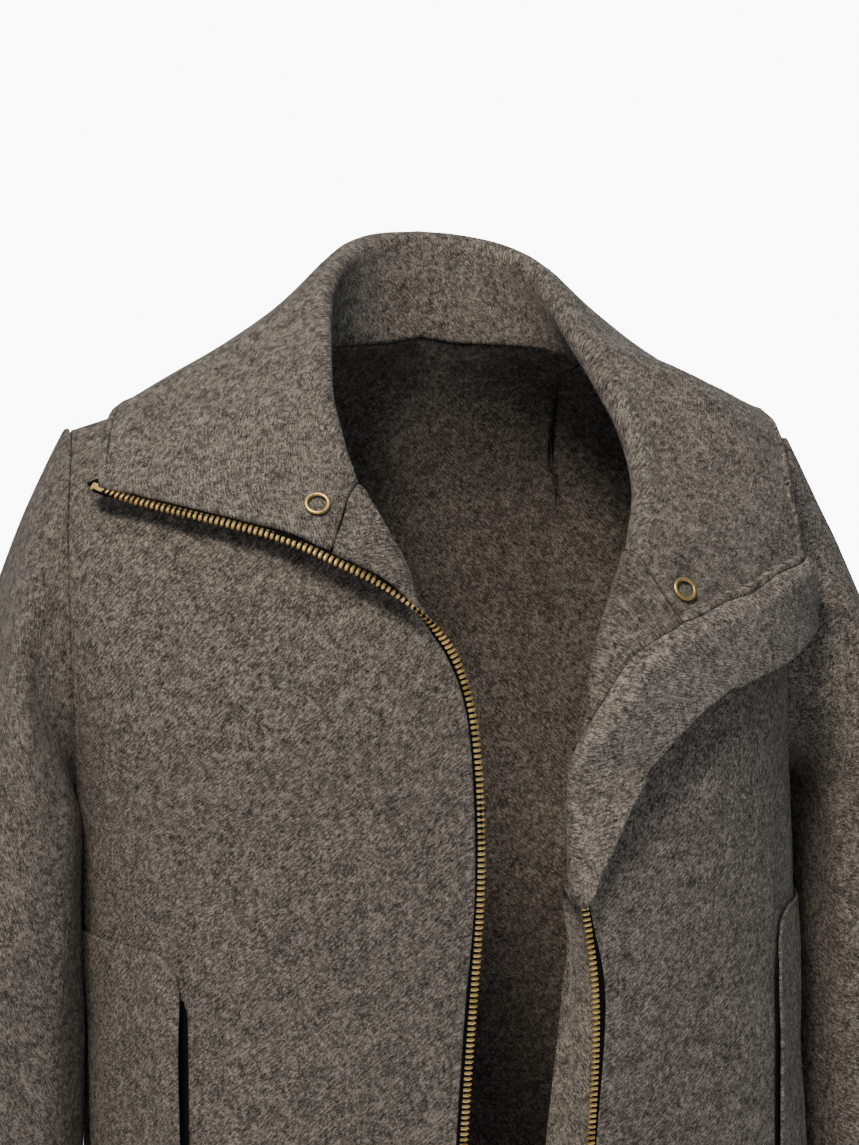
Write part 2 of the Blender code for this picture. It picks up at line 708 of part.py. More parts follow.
def zip_strips(side, frames, end_share):
    """Tape and teeth beside one zip edge."""
    word = "right" if side < 0 else "left"
    points, outs, normals = frames
    middle = points - normals * (CLOTH / 2)
    tape = np.stack([middle + outs * reach for reach in (GAP, GAP + TAPE_WIDTH)], 1)
    shell("zip_tape_" + word, tape, TAPE_THICK, tape_black, middle=True)
    chain = np.stack([middle + outs * reach
                      for reach in (CHAIN_START + GAP, CHAIN_START + CHAIN_WIDTH)], 1)
    chain[0] += (chain[1] - chain[0]) * end_share
    end, step = chain[-1].mean(axis=0), unit(chain[-1] - chain[-2]).mean(axis=0)
    chain[-1] -= unit(chain[-1] - chain[-2]) * (STOP_SIZE[2] + GAP)
    shell("zip_chain_" + word, chain, CHAIN_THICK, brass, middle=True)
    block("top_stop_" + word, STOP_SIZE, end - step * 0.5 * STOP_SIZE[2], axes(outs[-1], step), brass, 0.6)


def zip_guard(frames):
    """The doubled strip behind the left zip, hung into the opening and turned back above."""
    points, outs, normals = frames
    front_last = len(FRONT_LEFT) - 2
    at = np.concatenate([np.linspace(0, front_last, front_last * ROW_CUTS + 1),
                         np.arange(front_last + 1, front_last + 1 + CORNER_ROW)])
    runs = np.cross(outs, normals)
    sections = []
    for row, flat, lean, outer_x, outer_z, lift in columns(GUARD, *GUARD[0]):
        k = int(np.argmin(np.abs(at - row)))
        local = np.stack([outs[k], normals[k], runs[k]])
        lean = math.radians(lean)
        toward = np.array([math.cos(lean), -math.sin(lean), 0.0])
        away = np.array([math.sin(lean), math.cos(lean), 0.0])
        start = np.array([2 * GAP, -CLOTH - GUARD_BACK, 0.0])
        foot = start + toward * flat
        if row < GUARD_FIRST_TURNED:
            rest = straight_on(start, foot, 2 + ARC_CUTS + LAPEL_CUTS)
        else:
            outer = surface_point(outer_x, outer_z, lift=lift)[0]
            outer = local @ (outer - points[k])
            arc = fold_round(foot, toward, away, outer, GUARD_FOLD, ARC_CUTS)
            rest = np.vstack([straight_on(start, foot, 2), arc, straight_on(arc[-1], outer, LAPEL_CUTS)])
        sections.append(np.vstack([start[None], rest]))
    sections = np.array(sections)
    place = np.interp(at, column(GUARD, "front_row"), np.arange(len(sections)))
    spread = np.stack([spline(sections[:, k], place) for k in range(sections.shape[1])], 1)
    grid = points[:, None] + np.einsum("ijk,ikl->ijl", spread, np.stack([outs, normals, runs], 1))
    shell("zip_guard", grid, GUARD_THICK, facing_wool, flip=True)


def pocket_grid(side):
    """A patch on the front by the side seam, made from the front's own form and moved out."""
    across = np.linspace(0.0, 1.0, POCKET_COLUMNS)
    rows = []
    for z in np.linspace(POCKET_BOTTOM, POCKET_TOP, POCKET_ROWS):
        wide = by_height(TORSO, "right_width" if side < 0 else "left_width", z) * POCKET_REACH
        below = POCKET_TOP - z
        corner = max(0.0, POCKET_CORNER - below)
        rounding = POCKET_CORNER - math.sqrt(max(POCKET_CORNER**2 - corner**2, 0.0))
        start = POCKET_FRONT_X + 0.6 * rounding
        x = start + (wide - start) * (1.0 - (1.0 - across) ** 1.5)
        lift = CLOTH + POCKET_LIFT * (1.0 - across) ** 2
        point, _ = surface_point(side * x, np.full_like(x, z), lift=lift + 2 * GAP)
        rows.append(point)
    return np.array(rows)


def shoulder_pull(grid):
    """Further room at the shoulder seam, where the two panels lean on each other."""
    return unit(grid[-2] - grid[-1]) * SHOULDER_PULL


def snap_ring(word, layer, target, flip=False):
    """Ring snap lying on the collar's inner layer."""
    inward = -grid_normals(layer, flip)
    distance = np.linalg.norm(layer - np.asarray(target), axis=-1)
    i, j = np.unravel_index(np.argmin(distance), distance.shape)
    normal = unit(inward[i, j])
    offset = np.asarray(target) - layer[i, j]
    flat = offset - normal * float(offset @ normal)
    centre = layer[i, j] + flat + normal * (FACING + 0.5 + SNAP_WIRE)
    bpy.ops.mesh.primitive_torus_add(
        major_radius=SNAP_RADIUS * MM, minor_radius=SNAP_WIRE * MM, major_segments=20, minor_segments=6)
    item = bpy.context.object
    item.name = "snap_ring_" + word
    item.data.name = item.name
    item.matrix_world = (Matrix.Translation(Vector(centre) * MM)
                         @ Vector(normal).to_track_quat("Z", "Y").to_matrix().to_4x4())
    item.data.materials.append(brass)
    for face in item.data.polygons:
        face.use_smooth = True
    move_to(item, jacket)


def pull_tab(centre):
    """Flat tab with a window at its top, hung on the slider's lug; origin on its hinge."""
    item = block("pull_tab", TAB_SIZE, (0, 0, 0), Matrix.Identity(3), brass, 0.3)
    drop = 0.5 * TAB_SIZE[2] - 0.5 * TAB_BAR
    for vertex in item.data.vertices:
        vertex.co.z -= drop * MM
    item.location = Vector(centre) * MM
    window = (TAB_WINDOW[0], 4 * TAB_SIZE[1], TAB_WINDOW[1])
    middle = Vector(centre) - Vector((0, 0, 0.5 * TAB_BAR + 0.5 * TAB_WINDOW[1]))
    item.modifiers.remove(item.modifiers["Edges"])
    combine(item, "tab_window", "DIFFERENCE", window, middle, Matrix.Identity(3))
    return item


def slider_group(end, pin_end):
    """Slider, its box and the pull tab at the foot of the right zip, and the left zip's pin."""
    level = Matrix.Identity(3)
    box_z = HEM_Z + 0.5 * BOX_SIZE[2] + 0.5
    block("retainer_box", BOX_SIZE, (end[0], end[1], box_z), level, brass, 0.8)
    slider_z = HEM_Z + BOX_SIZE[2] + 1.0 + 0.5 * SLIDER_SIZE[2]
    slider = block("slider", SLIDER_SIZE, (end[0], end[1], slider_z), level, brass, 1.2)
    face_y = end[1] - 0.5 * SLIDER_SIZE[1]
    hinge = (end[0], face_y - TAB_STAND_OFF, slider_z + 2.0)
    lug_centre = (end[0], face_y - 0.5 * LUG_SIZE[1] + LUG_ROOT, hinge[2])
    combine(slider, "lug", "UNION", (LUG_SIZE[0], LUG_SIZE[1] + 2 * LUG_ROOT, LUG_SIZE[2]), lug_centre, level)
    hole = (4 * LUG_SIZE[0], 2 * LUG_HOLE, 2 * LUG_HOLE)
    combine(slider, "lug_hole", "DIFFERENCE", hole, hinge, level)
    pull_tab(hinge)
    pin_z = HEM_Z + 1.0 + 0.5 * PIN_SIZE[2]
    block("insertion_pin", PIN_SIZE, (pin_end[0], pin_end[1], pin_z), level, brass, 0.5)


clear_scene()
jacket = bpy.data.collections.new("stand_collar_jacket")
cutters = bpy.data.collections.new("cutters")
for collection in (jacket, cutters):
    bpy.context.scene.collection.children.link(collection)
wool = make_material("wool")
facing_wool = make_material("wool_facing")
tape_black = make_material("tape")
brass = make_material("brass")

back = back_grid()
collar = collar_grid()
fronts = {side: front_grid(side) for side in (-1, 1)}
side_pull = 0.8 * GAP

panel = pulled_in(back, side_pull, ("first_col", "last_col", "last_row"))
for seam in (slice(0, SHOULDER_CUTS + 1), slice(-SHOULDER_CUTS - 1, None)):
    panel[-1, seam] += shoulder_pull(back)[seam]
shell("back", panel, CLOTH, wool, flip=True)
collar_edges = ("first_row", "last_row", "first_col")
shell("collar_outer", pulled_in(collar, 2 * GAP, collar_edges), CLOTH, wool)
shell("collar_inner", pulled_in(inner_layer(collar), 3 * GAP, collar_edges), FACING, facing_wool)
for side, word in ((-1, "right"), (1, "left")):
    flip = side > 0
    front = fronts[side]
    foot_col = SHOULDER_CUTS + NECK_STATIONS[side] + 2
    panel = pulled_in(pulled_in(front, side_pull, ("first_col",)), 3 * GAP, ("last_row",))
    panel[-1, :SHOULDER_CUTS + 1] += shoulder_pull(front)[:SHOULDER_CUTS + 1]
    shell("front_" + word, panel, CLOTH, wool, flip=flip)
    turned = inner_layer(front, flip)[FACING_START[side]:, foot_col - 1:]
    shell("facing_" + word, pulled_in(turned, 3 * GAP, ("last_row",)), FACING, facing_wool, flip=flip)
    shell("sleeve_" + word, sleeve_grid(side), CLOTH, wool, flip=flip, wrap=True)
    shell("pocket_" + word, pocket_grid(side), POCKET_THICK, wool, flip=not flip)
    ordered = collar if side < 0 else collar[::-1]
    frames = edge_frames(front, ordered, side)
    zip_strips(side, frames, ZIP_END_RISE / FIRST_ROW_RISE)
    if side > 0:
        zip_guard(frames)
    snap_ring(word, inner_layer(collar), SNAP_RIGHT if side < 0 else SNAP_LEFT)
    if side < 0:
        slider_end = frames[0][0] + frames[1][0] * (CHAIN_START + 0.5 * SLIDER_SIZE[0] + 2.5 * GAP)
    else:
        pin_end = frames[0][0] + frames[1][0] * (TAPE_WIDTH + 2 * GAP + 0.5 * PIN_SIZE[0])
slider_group(slider_end, pin_end)
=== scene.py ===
# Stand-collar wool jacket, worn open with its high collar turned back, on a plain pale stage.
import math
import bpy
import numpy as np
from mathutils import Matrix, Vector


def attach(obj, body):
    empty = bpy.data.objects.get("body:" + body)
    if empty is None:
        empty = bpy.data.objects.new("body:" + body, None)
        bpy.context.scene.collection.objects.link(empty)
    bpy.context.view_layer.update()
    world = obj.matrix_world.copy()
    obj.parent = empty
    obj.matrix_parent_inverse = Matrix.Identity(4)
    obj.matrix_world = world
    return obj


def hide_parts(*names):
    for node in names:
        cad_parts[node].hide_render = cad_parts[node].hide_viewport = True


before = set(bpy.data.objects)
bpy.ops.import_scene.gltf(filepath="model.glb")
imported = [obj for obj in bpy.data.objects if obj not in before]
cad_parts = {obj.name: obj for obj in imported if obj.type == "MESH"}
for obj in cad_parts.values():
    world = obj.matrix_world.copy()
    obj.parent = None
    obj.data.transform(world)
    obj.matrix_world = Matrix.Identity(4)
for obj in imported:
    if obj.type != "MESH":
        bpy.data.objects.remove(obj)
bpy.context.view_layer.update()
print("frame loaded:", len(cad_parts), "nodes")

# All working sizes are in millimetres, and turned into metres when a mesh is made.
mm = 0.001

# The camera comes first.
view = {
    "place": (-0.3605, -1.3069, 0.0163),
    "azimuth": -15.0,      # degrees round from straight ahead
    "elevation": 6.0,      # degrees down
    "sensor": 24.0,
    "focalPixels": 2500.0,
    "framePixels": (859, 1145),
}


def addCamera():
    data = bpy.data.cameras.new("camera")
    data.sensor_fit = "VERTICAL"
    data.sensor_height = view["sensor"]
    data.lens = view["focalPixels"] / view["framePixels"][1] * view["sensor"]
    data.clip_start = 0.05
    data.dof.use_dof = False
    camera = bpy.data.objects.new("camera", data)
    bpy.context.scene.collection.objects.link(camera)
    az, el = math.radians(view["azimuth"]), math.radians(view["elevation"])
    ahead = Vector((-math.sin(az) * math.cos(el), math.cos(az) * math.cos(el), -math.sin(el)))
    camera.location = view["place"]
    camera.rotation_euler = ahead.to_track_quat("-Z", "Y").to_euler()
    bpy.context.scene.camera = camera


addCamera()

# The cloth, and the general body size that it is cut for.
cloth = {
    "wall": 2.4,           # body cloth
    "facing": 2.0,         # inner layer of the collar and lapels
    "layerGap": 0.5,
    "seamGap": -0.4,       # half the gap between two cut pieces, which just press together
    "openGap": 0.42,       # added at the neckline seam, which shows as a groove
    "foldRadius": 2.6,
    "rollReach": 8.0,
    "drapeWiden": 20.0,
}

figure = {
    "shoulderY": 8.0, "neckX": 79.0, "neckZ": -8.0,
    "slope": {-1: 0.31, 0: 0.36, 1: 0.40},
    "underarmZ": -235.0, "underarmBlend": 24.0, "hemZ": -620.0, "sidePower": 2.5,
    "frontTopPower": 2.2, "backTopPower": 2.8,
    "frontTopStart": -200.0, "backTopStart": -160.0,
}

torso = (
    ("z", "rightWidth", "leftWidth", "frontDepth", "backDepth"),
    (-620, 211, 211, 128, 114),
    (-450, 200, 203, 130, 106),
    (-350, 203, 197, 133, 109),
    (-300, 206, 194, 134, 112),
    (-235, 208, 190, 135, 117),
    (-180, 220, 189, 131, 118),
    (-120, 224, 191, 122, 112),
    (-50, 212, 205, 105, 98),
    (0, 205, 205, 95, 85),
    (60, 205, 205, 90, 80),
)

armhole = (
    ("z", "rightX", "leftX"),
    (-235, 207, 189),
    (-205, 209, 183),
    (-175, 211, 179),
    (-140, 212, 180),
    (-105, 211, 184),
    (-75, 208, 191),
    (-50, 203, 200),
)


def unit(v):
    v = np.asarray(v, dtype=float)
    return v / np.maximum(np.linalg.norm(v, axis=-1, keepdims=True), 1e-9)


def dot(a, b):
    return np.sum(a * b, axis=-1)


def squareTo(v, axis):
    return unit(v - dot(v, axis)[..., None] * axis)


def spline(rows, t):
    rows = np.asarray(rows, dtype=float)
    t = np.atleast_1d(np.asarray(t, dtype=float))
    last = len(rows) - 1
    i = np.clip(np.floor(t).astype(int), 0, last - 1)
    f = (t - i)[:, None]
    steps = np.diff(rows, axis=0)
    slopes = np.vstack([steps[:1], 0.5 * (steps[1:] + steps[:-1]), steps[-1:]])
    sameWay = np.vstack([steps[:1] * steps[:1], steps[1:] * steps[:-1], steps[-1:] * steps[-1:]]) > 0
    slopes = np.where(sameWay, slopes, 0.35 * slopes)
    p0, p1, m0, m1 = rows[i], rows[i + 1], slopes[i], slopes[i + 1]
    return ((2 * f**3 - 3 * f**2 + 1) * p0 + (f**3 - 2 * f**2 + f) * m0
            + (-2 * f**3 + 3 * f**2) * p1 + (f**3 - f**2) * m1)


def column(table, name):
    place = table[0].index(name)
    return np.array([row[place] for row in table[1:]], dtype=float)


def columns(table, *names):
    return np.stack([column(table, name) for name in names], -1)


roundOff = ((-24, 1), (-12, 2), (0, 3), (12, 2), (24, 1))   # steps up and down, and their weights


def byHeight(table, name, z):
    # the table's rows, with their corners rounded off
    total = 0.0
    for step, weight in roundOff:
        total = total + weight * np.interp(z + step, column(table, "z"), column(table, name))
    return total / sum(weight for _, weight in roundOff)


def shoulderZ(x):
    outer = np.where(x < 0, figure["slope"][-1], figure["slope"][1])
    slope = np.where(np.abs(x) < figure["neckX"], figure["slope"][0], outer)
    return figure["neckZ"] - slope * (np.abs(x) - figure["neckX"])


def shoulderX(side):
    return column(armhole, "rightX" if side < 0 else "leftX")[-1]


def halfWidth(x, z):
    return np.where(x < 0, byHeight(torso, "rightWidth", z), byHeight(torso, "leftWidth", z))


def halfDepth(y, z):
    ahead = y < figure["shoulderY"]
    return np.where(ahead, byHeight(torso, "frontDepth", z), byHeight(torso, "backDepth", z))


def sideRound(x, wide):
    power = figure["sidePower"]
    return (1.0 - np.minimum(1.0, np.abs(x) / wide) ** power) ** (1.0 / power)


def torsoY(x, z, front):
    word = "front" if front else "back"
    start, power = figure[word + "TopStart"], figure[word + "TopPower"]
    rise = np.clip((z - start) / (shoulderZ(x) - start), 0.0, 1.0)
    top = (1.0 - rise ** power) ** (1.0 / power)
    reach = byHeight(torso, word + "Depth", z) * sideRound(x, halfWidth(x, z)) * top
    return figure["shoulderY"] - reach if front else figure["shoulderY"] + reach


def fromCentre(points, widen):
    # 1 on the figure's face, with the ray each point moves along
    x, y, z = points[..., 0], points[..., 1], points[..., 2]
    ahead = y < figure["shoulderY"]
    start = np.where(ahead, figure["frontTopStart"], figure["backTopStart"])
    power = np.where(ahead, figure["frontTopPower"], figure["backTopPower"])
    reach = np.maximum(halfDepth(y, z) * sideRound(x, halfWidth(x, z) + widen), 5.0)
    rise = np.maximum(0.0, z - start) / (shoulderZ(x) - start)
    ratio = ((np.abs(y - figure["shoulderY"]) / reach) ** power + rise ** power) ** (1.0 / power)
    ray = np.stack([np.zeros_like(y), y - figure["shoulderY"], np.maximum(0.0, z - start)], -1)
    return np.maximum(ratio, 0.05), ray


def pushOut(points, clearance):
    points = np.array(points, dtype=float)
    for _ in range(3):
        ratio, ray = fromCentre(points, cloth["drapeWiden"])
        length = np.maximum(np.linalg.norm(ray, axis=-1) / ratio, 1.0)
        scale = np.maximum(1.0, (1.0 + clearance / length) / ratio)
        points += ray * (scale - 1.0)[..., None]
    return points


def snapOn(points):
    points = np.array(points, dtype=float)
    for _ in range(4):
        ratio, ray = fromCentre(points, 0.0)
        points += ray * (1.0 / ratio - 1.0)[..., None]
    return points


def surfacePoint(x, z, front=True, lift=0.0):
    step = 0.5
    y = torsoY(x, z, front)
    dx = np.stack([np.full_like(y, 2 * step), torsoY(x + step, z, front) - torsoY(x - step, z, front),
                   np.zeros_like(y)], -1)
    dz = np.stack([np.zeros_like(y), torsoY(x, z + step, front) - torsoY(x, z - step, front),
                   np.full_like(y, 2 * step)], -1)
    normal = unit(np.cross(dx, dz)) * (1 if front else -1)
    point = np.stack([x, y, z], -1)
    return point + normal * np.asarray(lift)[..., None], normal


# The aim stays outside the fold's circle, too long a turn counts as none, and the points go a
# little past a half turn, or take a share of the whole way.
foldLimits = {"nearest": 1.02, "mostTurn": 1.4, "past": 1.5, "share": 0.8}


def foldRound(foot, toward, away, aim, radius, cuts):
    # on from the foot, round a fold and off it in line with the aim
    along = np.cross(away, toward)
    reach = aim - foot
    t, n = float(reach @ toward), float(reach @ away) - radius
    distance = max(math.hypot(t, n), radius * foldLimits["nearest"])
    straight = math.sqrt(distance**2 - radius**2)
    turn = (math.atan2(n, t) + math.atan2(radius, straight)) % (2 * math.pi)
    if turn > foldLimits["mostTurn"] * math.pi:
        turn = 0.0
    total = radius * turn + straight
    first = min(math.pi * radius + foldLimits["past"], foldLimits["share"] * total)
    drift = float(reach @ along)
    points = []
    for k in range(1, cuts + 1):
        s = first * k / cuts
        angle = min(s / radius, turn)
        run = max(0.0, s - radius * turn)
        ahead = radius * math.sin(angle) + run * math.cos(turn)
        up = radius * (1 - math.cos(angle)) + run * math.sin(turn)
        points.append(foot + toward * ahead + away * up + along * drift * s / total)
    return np.array(points)


def straightOn(start, end, cuts):
    share = np.arange(1, cuts + 1)[:, None] / cuts
    return start + (end - start) * share


def alongLine(points, cuts):
    points = np.asarray(points, dtype=float)
    length = np.concatenate([[0.0], np.cumsum(np.linalg.norm(np.diff(points, axis=0), axis=1))])
    at = np.linspace(0.0, length[-1], cuts + 1)
    return np.stack([np.interp(at, length, points[:, k]) for k in range(points.shape[1])], -1)


# The sewn line along the zip edges.
topstitch = {
    "columns": (7.0, 5.8, 5.0, 4.5, 4.0, 3.5, 3.0, 2.4, 1.6, 0.8, 0.0),   # from the edge
    "between": 6,          # steps from the fold to the first of those
    "arcShare": 0.75,      # the fold takes at most this much of the way to them
    "inset": 4.0, "wide": 0.6, "deep": 0.85,
    "ridge": 0.4, "ridgeWide": 1.3,
    "pastZip": 0.3,        # what is left of the line where the zip has ended
}


def edgeSpaced(tail, arcCuts):
    # a turned edge with its last columns at set places from the zip edge, where the topstitching is
    length = np.concatenate([[0.0], np.cumsum(np.linalg.norm(np.diff(tail, axis=0), axis=1))])
    near = np.array(topstitch["columns"])
    room = length[-1] - near[0]
    squeeze = min(1.0, topstitch["arcShare"] * room / length[arcCuts])
    rest = np.linspace(length[arcCuts] * squeeze, room, topstitch["between"] + 1)[1:]
    at = np.concatenate([length[:arcCuts + 1] * squeeze, rest, length[-1] - near[1:]])
    return np.stack([np.interp(at, length, tail[:, k]) for k in range(3)], -1)


def stitched(grid, wall, flip, share):
    # a sewn line: a groove, with a soft ridge between it and the edge, on both faces
    away = np.linalg.norm(grid - grid[:, -1:], axis=-1)
    groove = topstitch["deep"] * np.exp(-((away - topstitch["inset"]) / topstitch["wide"]) ** 2)
    ridge = topstitch["ridge"] * np.exp(-((away - 0.5 * topstitch["inset"]) / topstitch["ridgeWide"]) ** 2)
    height = (ridge - groove) * share
    normal = gridNormals(grid, flip, stretch=False)
    return grid + normal * height[..., None], wall + 2.0 * height


def gridNormals(grid, flip=False, wrap=False, stretch=True):
    rows, cols = grid.shape[:2]
    padded = np.concatenate([grid, grid[:, :1]], axis=1) if wrap else grid
    across = padded[:, 1:] - padded[:, :-1]
    up = padded[1:] - padded[:-1]
    faces = unit(np.cross(across[:-1] + across[1:], up[:, :-1] + up[:, 1:]))
    total = np.zeros((rows, cols, 3))
    parts = []
    for di in (0, 1):
        for dj in (0, 1):
            part = np.zeros((rows, cols, 3))
            if wrap:
                part[di:rows - 1 + di] = np.roll(faces, dj, axis=1)
            else:
                part[di:rows - 1 + di, dj:cols - 1 + dj] = faces
            parts.append(part)
            total += part
    normal = unit(total)
    if stretch:
        cosine = np.ones((rows, cols))
        for part in parts:
            cosine = np.where(dot(part, part) > 0.5, np.minimum(cosine, dot(part, normal)), cosine)
        normal = normal / np.clip(cosine, 0.75, 1.0)[..., None]
    return -normal if flip else normal


# Cloth walls.
weaveMap = "weave"


def gridPlace(grid):
    # how far along and up the cloth each grid point lies, in metres
    middle = grid.shape[0] // 2
    across = np.linalg.norm(np.diff(grid, axis=1), axis=2)
    u = np.concatenate([np.zeros((len(grid), 1)), np.cumsum(across, axis=1)], axis=1)
    rise = np.linalg.norm(np.diff(grid, axis=0), axis=2)
    v = np.concatenate([np.zeros((1, grid.shape[1])), np.cumsum(rise, axis=0)])
    u = 0.5 * u + 0.5 * np.broadcast_to(u[middle], u.shape)
    v = 0.5 * v + 0.5 * np.broadcast_to(v.mean(axis=1, keepdims=True), v.shape)
    return np.stack([u, v], -1) * mm


def slid(points, first, last, reach=16.0):
    # the same line of points with its ends drawn in along itself
    length = np.concatenate([[0.0], np.cumsum(np.linalg.norm(np.diff(points[:, :3], axis=0), axis=1))])
    total = length[-1]
    span = min(reach, 0.45 * total)
    at = length.copy()
    if first > 0.0:
        start = min(first, 0.8 * span)
        at = np.where(length < span, start + length * (span - start) / span, at)
    if last > 0.0:
        stop = min(last, 0.8 * span)
        past = length - total + span
        at = np.where(length > total - span, total - span + past * (span - stop) / span, at)
    return np.stack([np.interp(at, length, points[:, k]) for k in range(points.shape[1])], -1)


def drawnIn(grid, place, amount, wrap):
    # the edges come in by the amount given at each of their points, which makes room for the rim
    both = np.concatenate([grid, place], axis=-1)
    if not wrap:
        both = np.stack([slid(both[i], amount[i, 0], amount[i, -1]) for i in range(len(both))])
    both = np.stack([slid(both[:, j], amount[0, j], amount[-1, j]) for j in range(both.shape[1])], 1)
    return both[..., :3], both[..., 3:]


def clothWall(name, grid, wall, material, flip=False, wrap=False, rimCuts=5, place=None,
              openEnds=(False, False)):
    # one closed wall of cloth: outer face, inner face and a rounded rim
    rows, cols = grid.shape[:2]
    wall = np.broadcast_to(np.asarray(wall, dtype=float), (rows, cols))
    place = gridPlace(grid) if place is None else place
    drawn = 0.5 * wall + cloth["seamGap"]
    drawn[0] += cloth["openGap"] * openEnds[0]
    drawn[-1] += cloth["openGap"] * openEnds[1]
    outer, place = drawnIn(grid, place, drawn, wrap)
    normal = gridNormals(outer, flip, wrap, stretch=False)
    inner = outer - gridNormals(outer, flip, wrap) * wall[..., None]
    outward = np.zeros_like(grid)
    flatOut = np.zeros((rows, cols, 2))
    sides = [(0, slice(None), 1, slice(None)), (-1, slice(None), -2, slice(None))]
    if not wrap:
        sides += [(slice(None), 0, slice(None), 1), (slice(None), -1, slice(None), -2)]
    for i, j, ni, nj in sides:
        outward[i, j] += unit(outer[i, j] - outer[ni, nj])
        flatOut[i, j] += unit(place[i, j] - place[ni, nj])
    outward = squareTo(outward, normal) * (np.linalg.norm(outward, axis=-1, keepdims=True) > 0)
    flatOut = unit(flatOut)
    lastCol = cols if wrap else cols - 1
    faces = []
    base = rows * cols
    for i in range(rows - 1):
        for j in range(lastCol):
            k = (j + 1) % cols
            corner = (i * cols + j, i * cols + k, (i + 1) * cols + k, (i + 1) * cols + j)
            corner = corner[::-1] if flip else corner
            faces.append(corner)
            faces.append(tuple(c + base for c in corner[::-1]))
    if wrap:
        loops = [[(0, j) for j in range(cols)], [(rows - 1, j) for j in range(cols)][::-1]]
    else:
        loops = [[(0, j) for j in range(cols)]
                 + [(i, cols - 1) for i in range(1, rows)]
                 + [(rows - 1, j) for j in range(cols - 2, -1, -1)]
                 + [(i, 0) for i in range(rows - 2, 0, -1)]]
    points = [outer.reshape(-1, 3), inner.reshape(-1, 3)]
    flat = [place.reshape(-1, 2), place.reshape(-1, 2)]
    count = 2 * base
    for loop in loops:
        i, j = np.array(loop).T
        middle, half = 0.5 * (outer[i, j] + inner[i, j]), 0.5 * (outer[i, j] - inner[i, j])
        radius = 0.5 * wall[i, j][:, None]
        rings = [i * cols + j]
        for cut in range(1, rimCuts):
            angle = math.pi * cut / rimCuts
            points.append(middle + half * math.cos(angle) + outward[i, j] * radius * math.sin(angle))
            flat.append(place[i, j] + flatOut[i, j] * radius * math.sin(angle) * mm)
            rings.append(count + np.arange(len(loop)))
            count += len(loop)
        rings.append(base + i * cols + j)
        for a, b in zip(rings, rings[1:]):
            for k in range(len(loop)):
                m = (k + 1) % len(loop)
                face = (a[m], a[k], b[k], b[m])
                faces.append(tuple(int(c) for c in (face[::-1] if flip else face)))
    return makeMesh(name, np.concatenate(points), faces, material, np.concatenate(flat))


def makeMesh(name, points, faces, material, flat=None):
    mesh = bpy.data.meshes.new(name)
    mesh.from_pydata((np.asarray(points) * mm).tolist(), [], faces)
    if flat is not None:
        layer = mesh.uv_layers.new(name=weaveMap)
        order = np.zeros(len(mesh.loops), dtype=np.int32)
        mesh.loops.foreach_get("vertex_index", order)
        layer.data.foreach_set("uv", np.asarray(flat, dtype=np.float32)[order].ravel())
    mesh.validate()
    for face in mesh.polygons:
        face.use_smooth = True
    item = bpy.data.objects.new(name, mesh)
    item.data.materials.append(material)
    bpy.context.scene.collection.objects.link(item)
    return item


# Finishes.
def addNode(tree, kind, **settings):
    node = tree.nodes.new(kind)
    for name, value in settings.items():
        setattr(node, name, value)
    return node


def setInputs(node, **values):
    for name, value in values.items():
        node.inputs[name.replace("_", " ")].default_value = value


def mathNode(tree, operation, a, b=None, clamp=False):
    node = addNode(tree, "ShaderNodeMath", operation=operation, use_clamp=clamp)
    for socket, value in ((node.inputs[0], a), (node.inputs[1], b)):
        if isinstance(value, (int, float)):
            socket.default_value = value
        elif value is not None:
            tree.links.new(value, socket)
    return node.outputs[0]


def ramp(tree, source, stops, spread="LINEAR"):
    node = addNode(tree, "ShaderNodeValToRGB")
    node.color_ramp.interpolation = spread
    while len(node.color_ramp.elements) < len(stops):
        node.color_ramp.elements.new(0.5)
    for element, (place, color) in zip(node.color_ramp.elements, stops):
        element.position = place
        element.color = (*color, 1.0) if len(color) == 3 else color
    tree.links.new(source, node.inputs["Fac"])
    return node.outputs["Color"]


oneBand = 0.314    # the wave texture's scale at which a band is one unit wide

wool = {
    "twillAngle": 40.0,                 # degrees that the ribs rise to the right
    "ribSize": 0.0020,                  # metres from rib to rib
    "fibre": (0.0026, 0.0008),          # long and wide, along the ribs
    "hair": (0.0036, 0.00034, 58.0),    # long, wide and its own angle
    "dark": (0.022, 0.019, 0.017),
    "mid": (0.118, 0.100, 0.083),
    "light": (0.36, 0.31, 0.26),
    # how fine the layers that don't follow the weave are
    "scales": {"curl": 400.0, "melange": 330.0, "speck": 1150.0, "patch": 120.0},
    "curl": {"cap": 0.12, "gain": 2.2, "top": 0.16},
    "bump": 0.55,
    "contrast": 1.0,
    # how much each layer counts for
    "weights": {"fibre": 1.15, "hair": 0.8, "curl": 1.05, "melange": 1.2, "speck": 0.6, "patch": 0.6,
                "rib": 0.09},
}


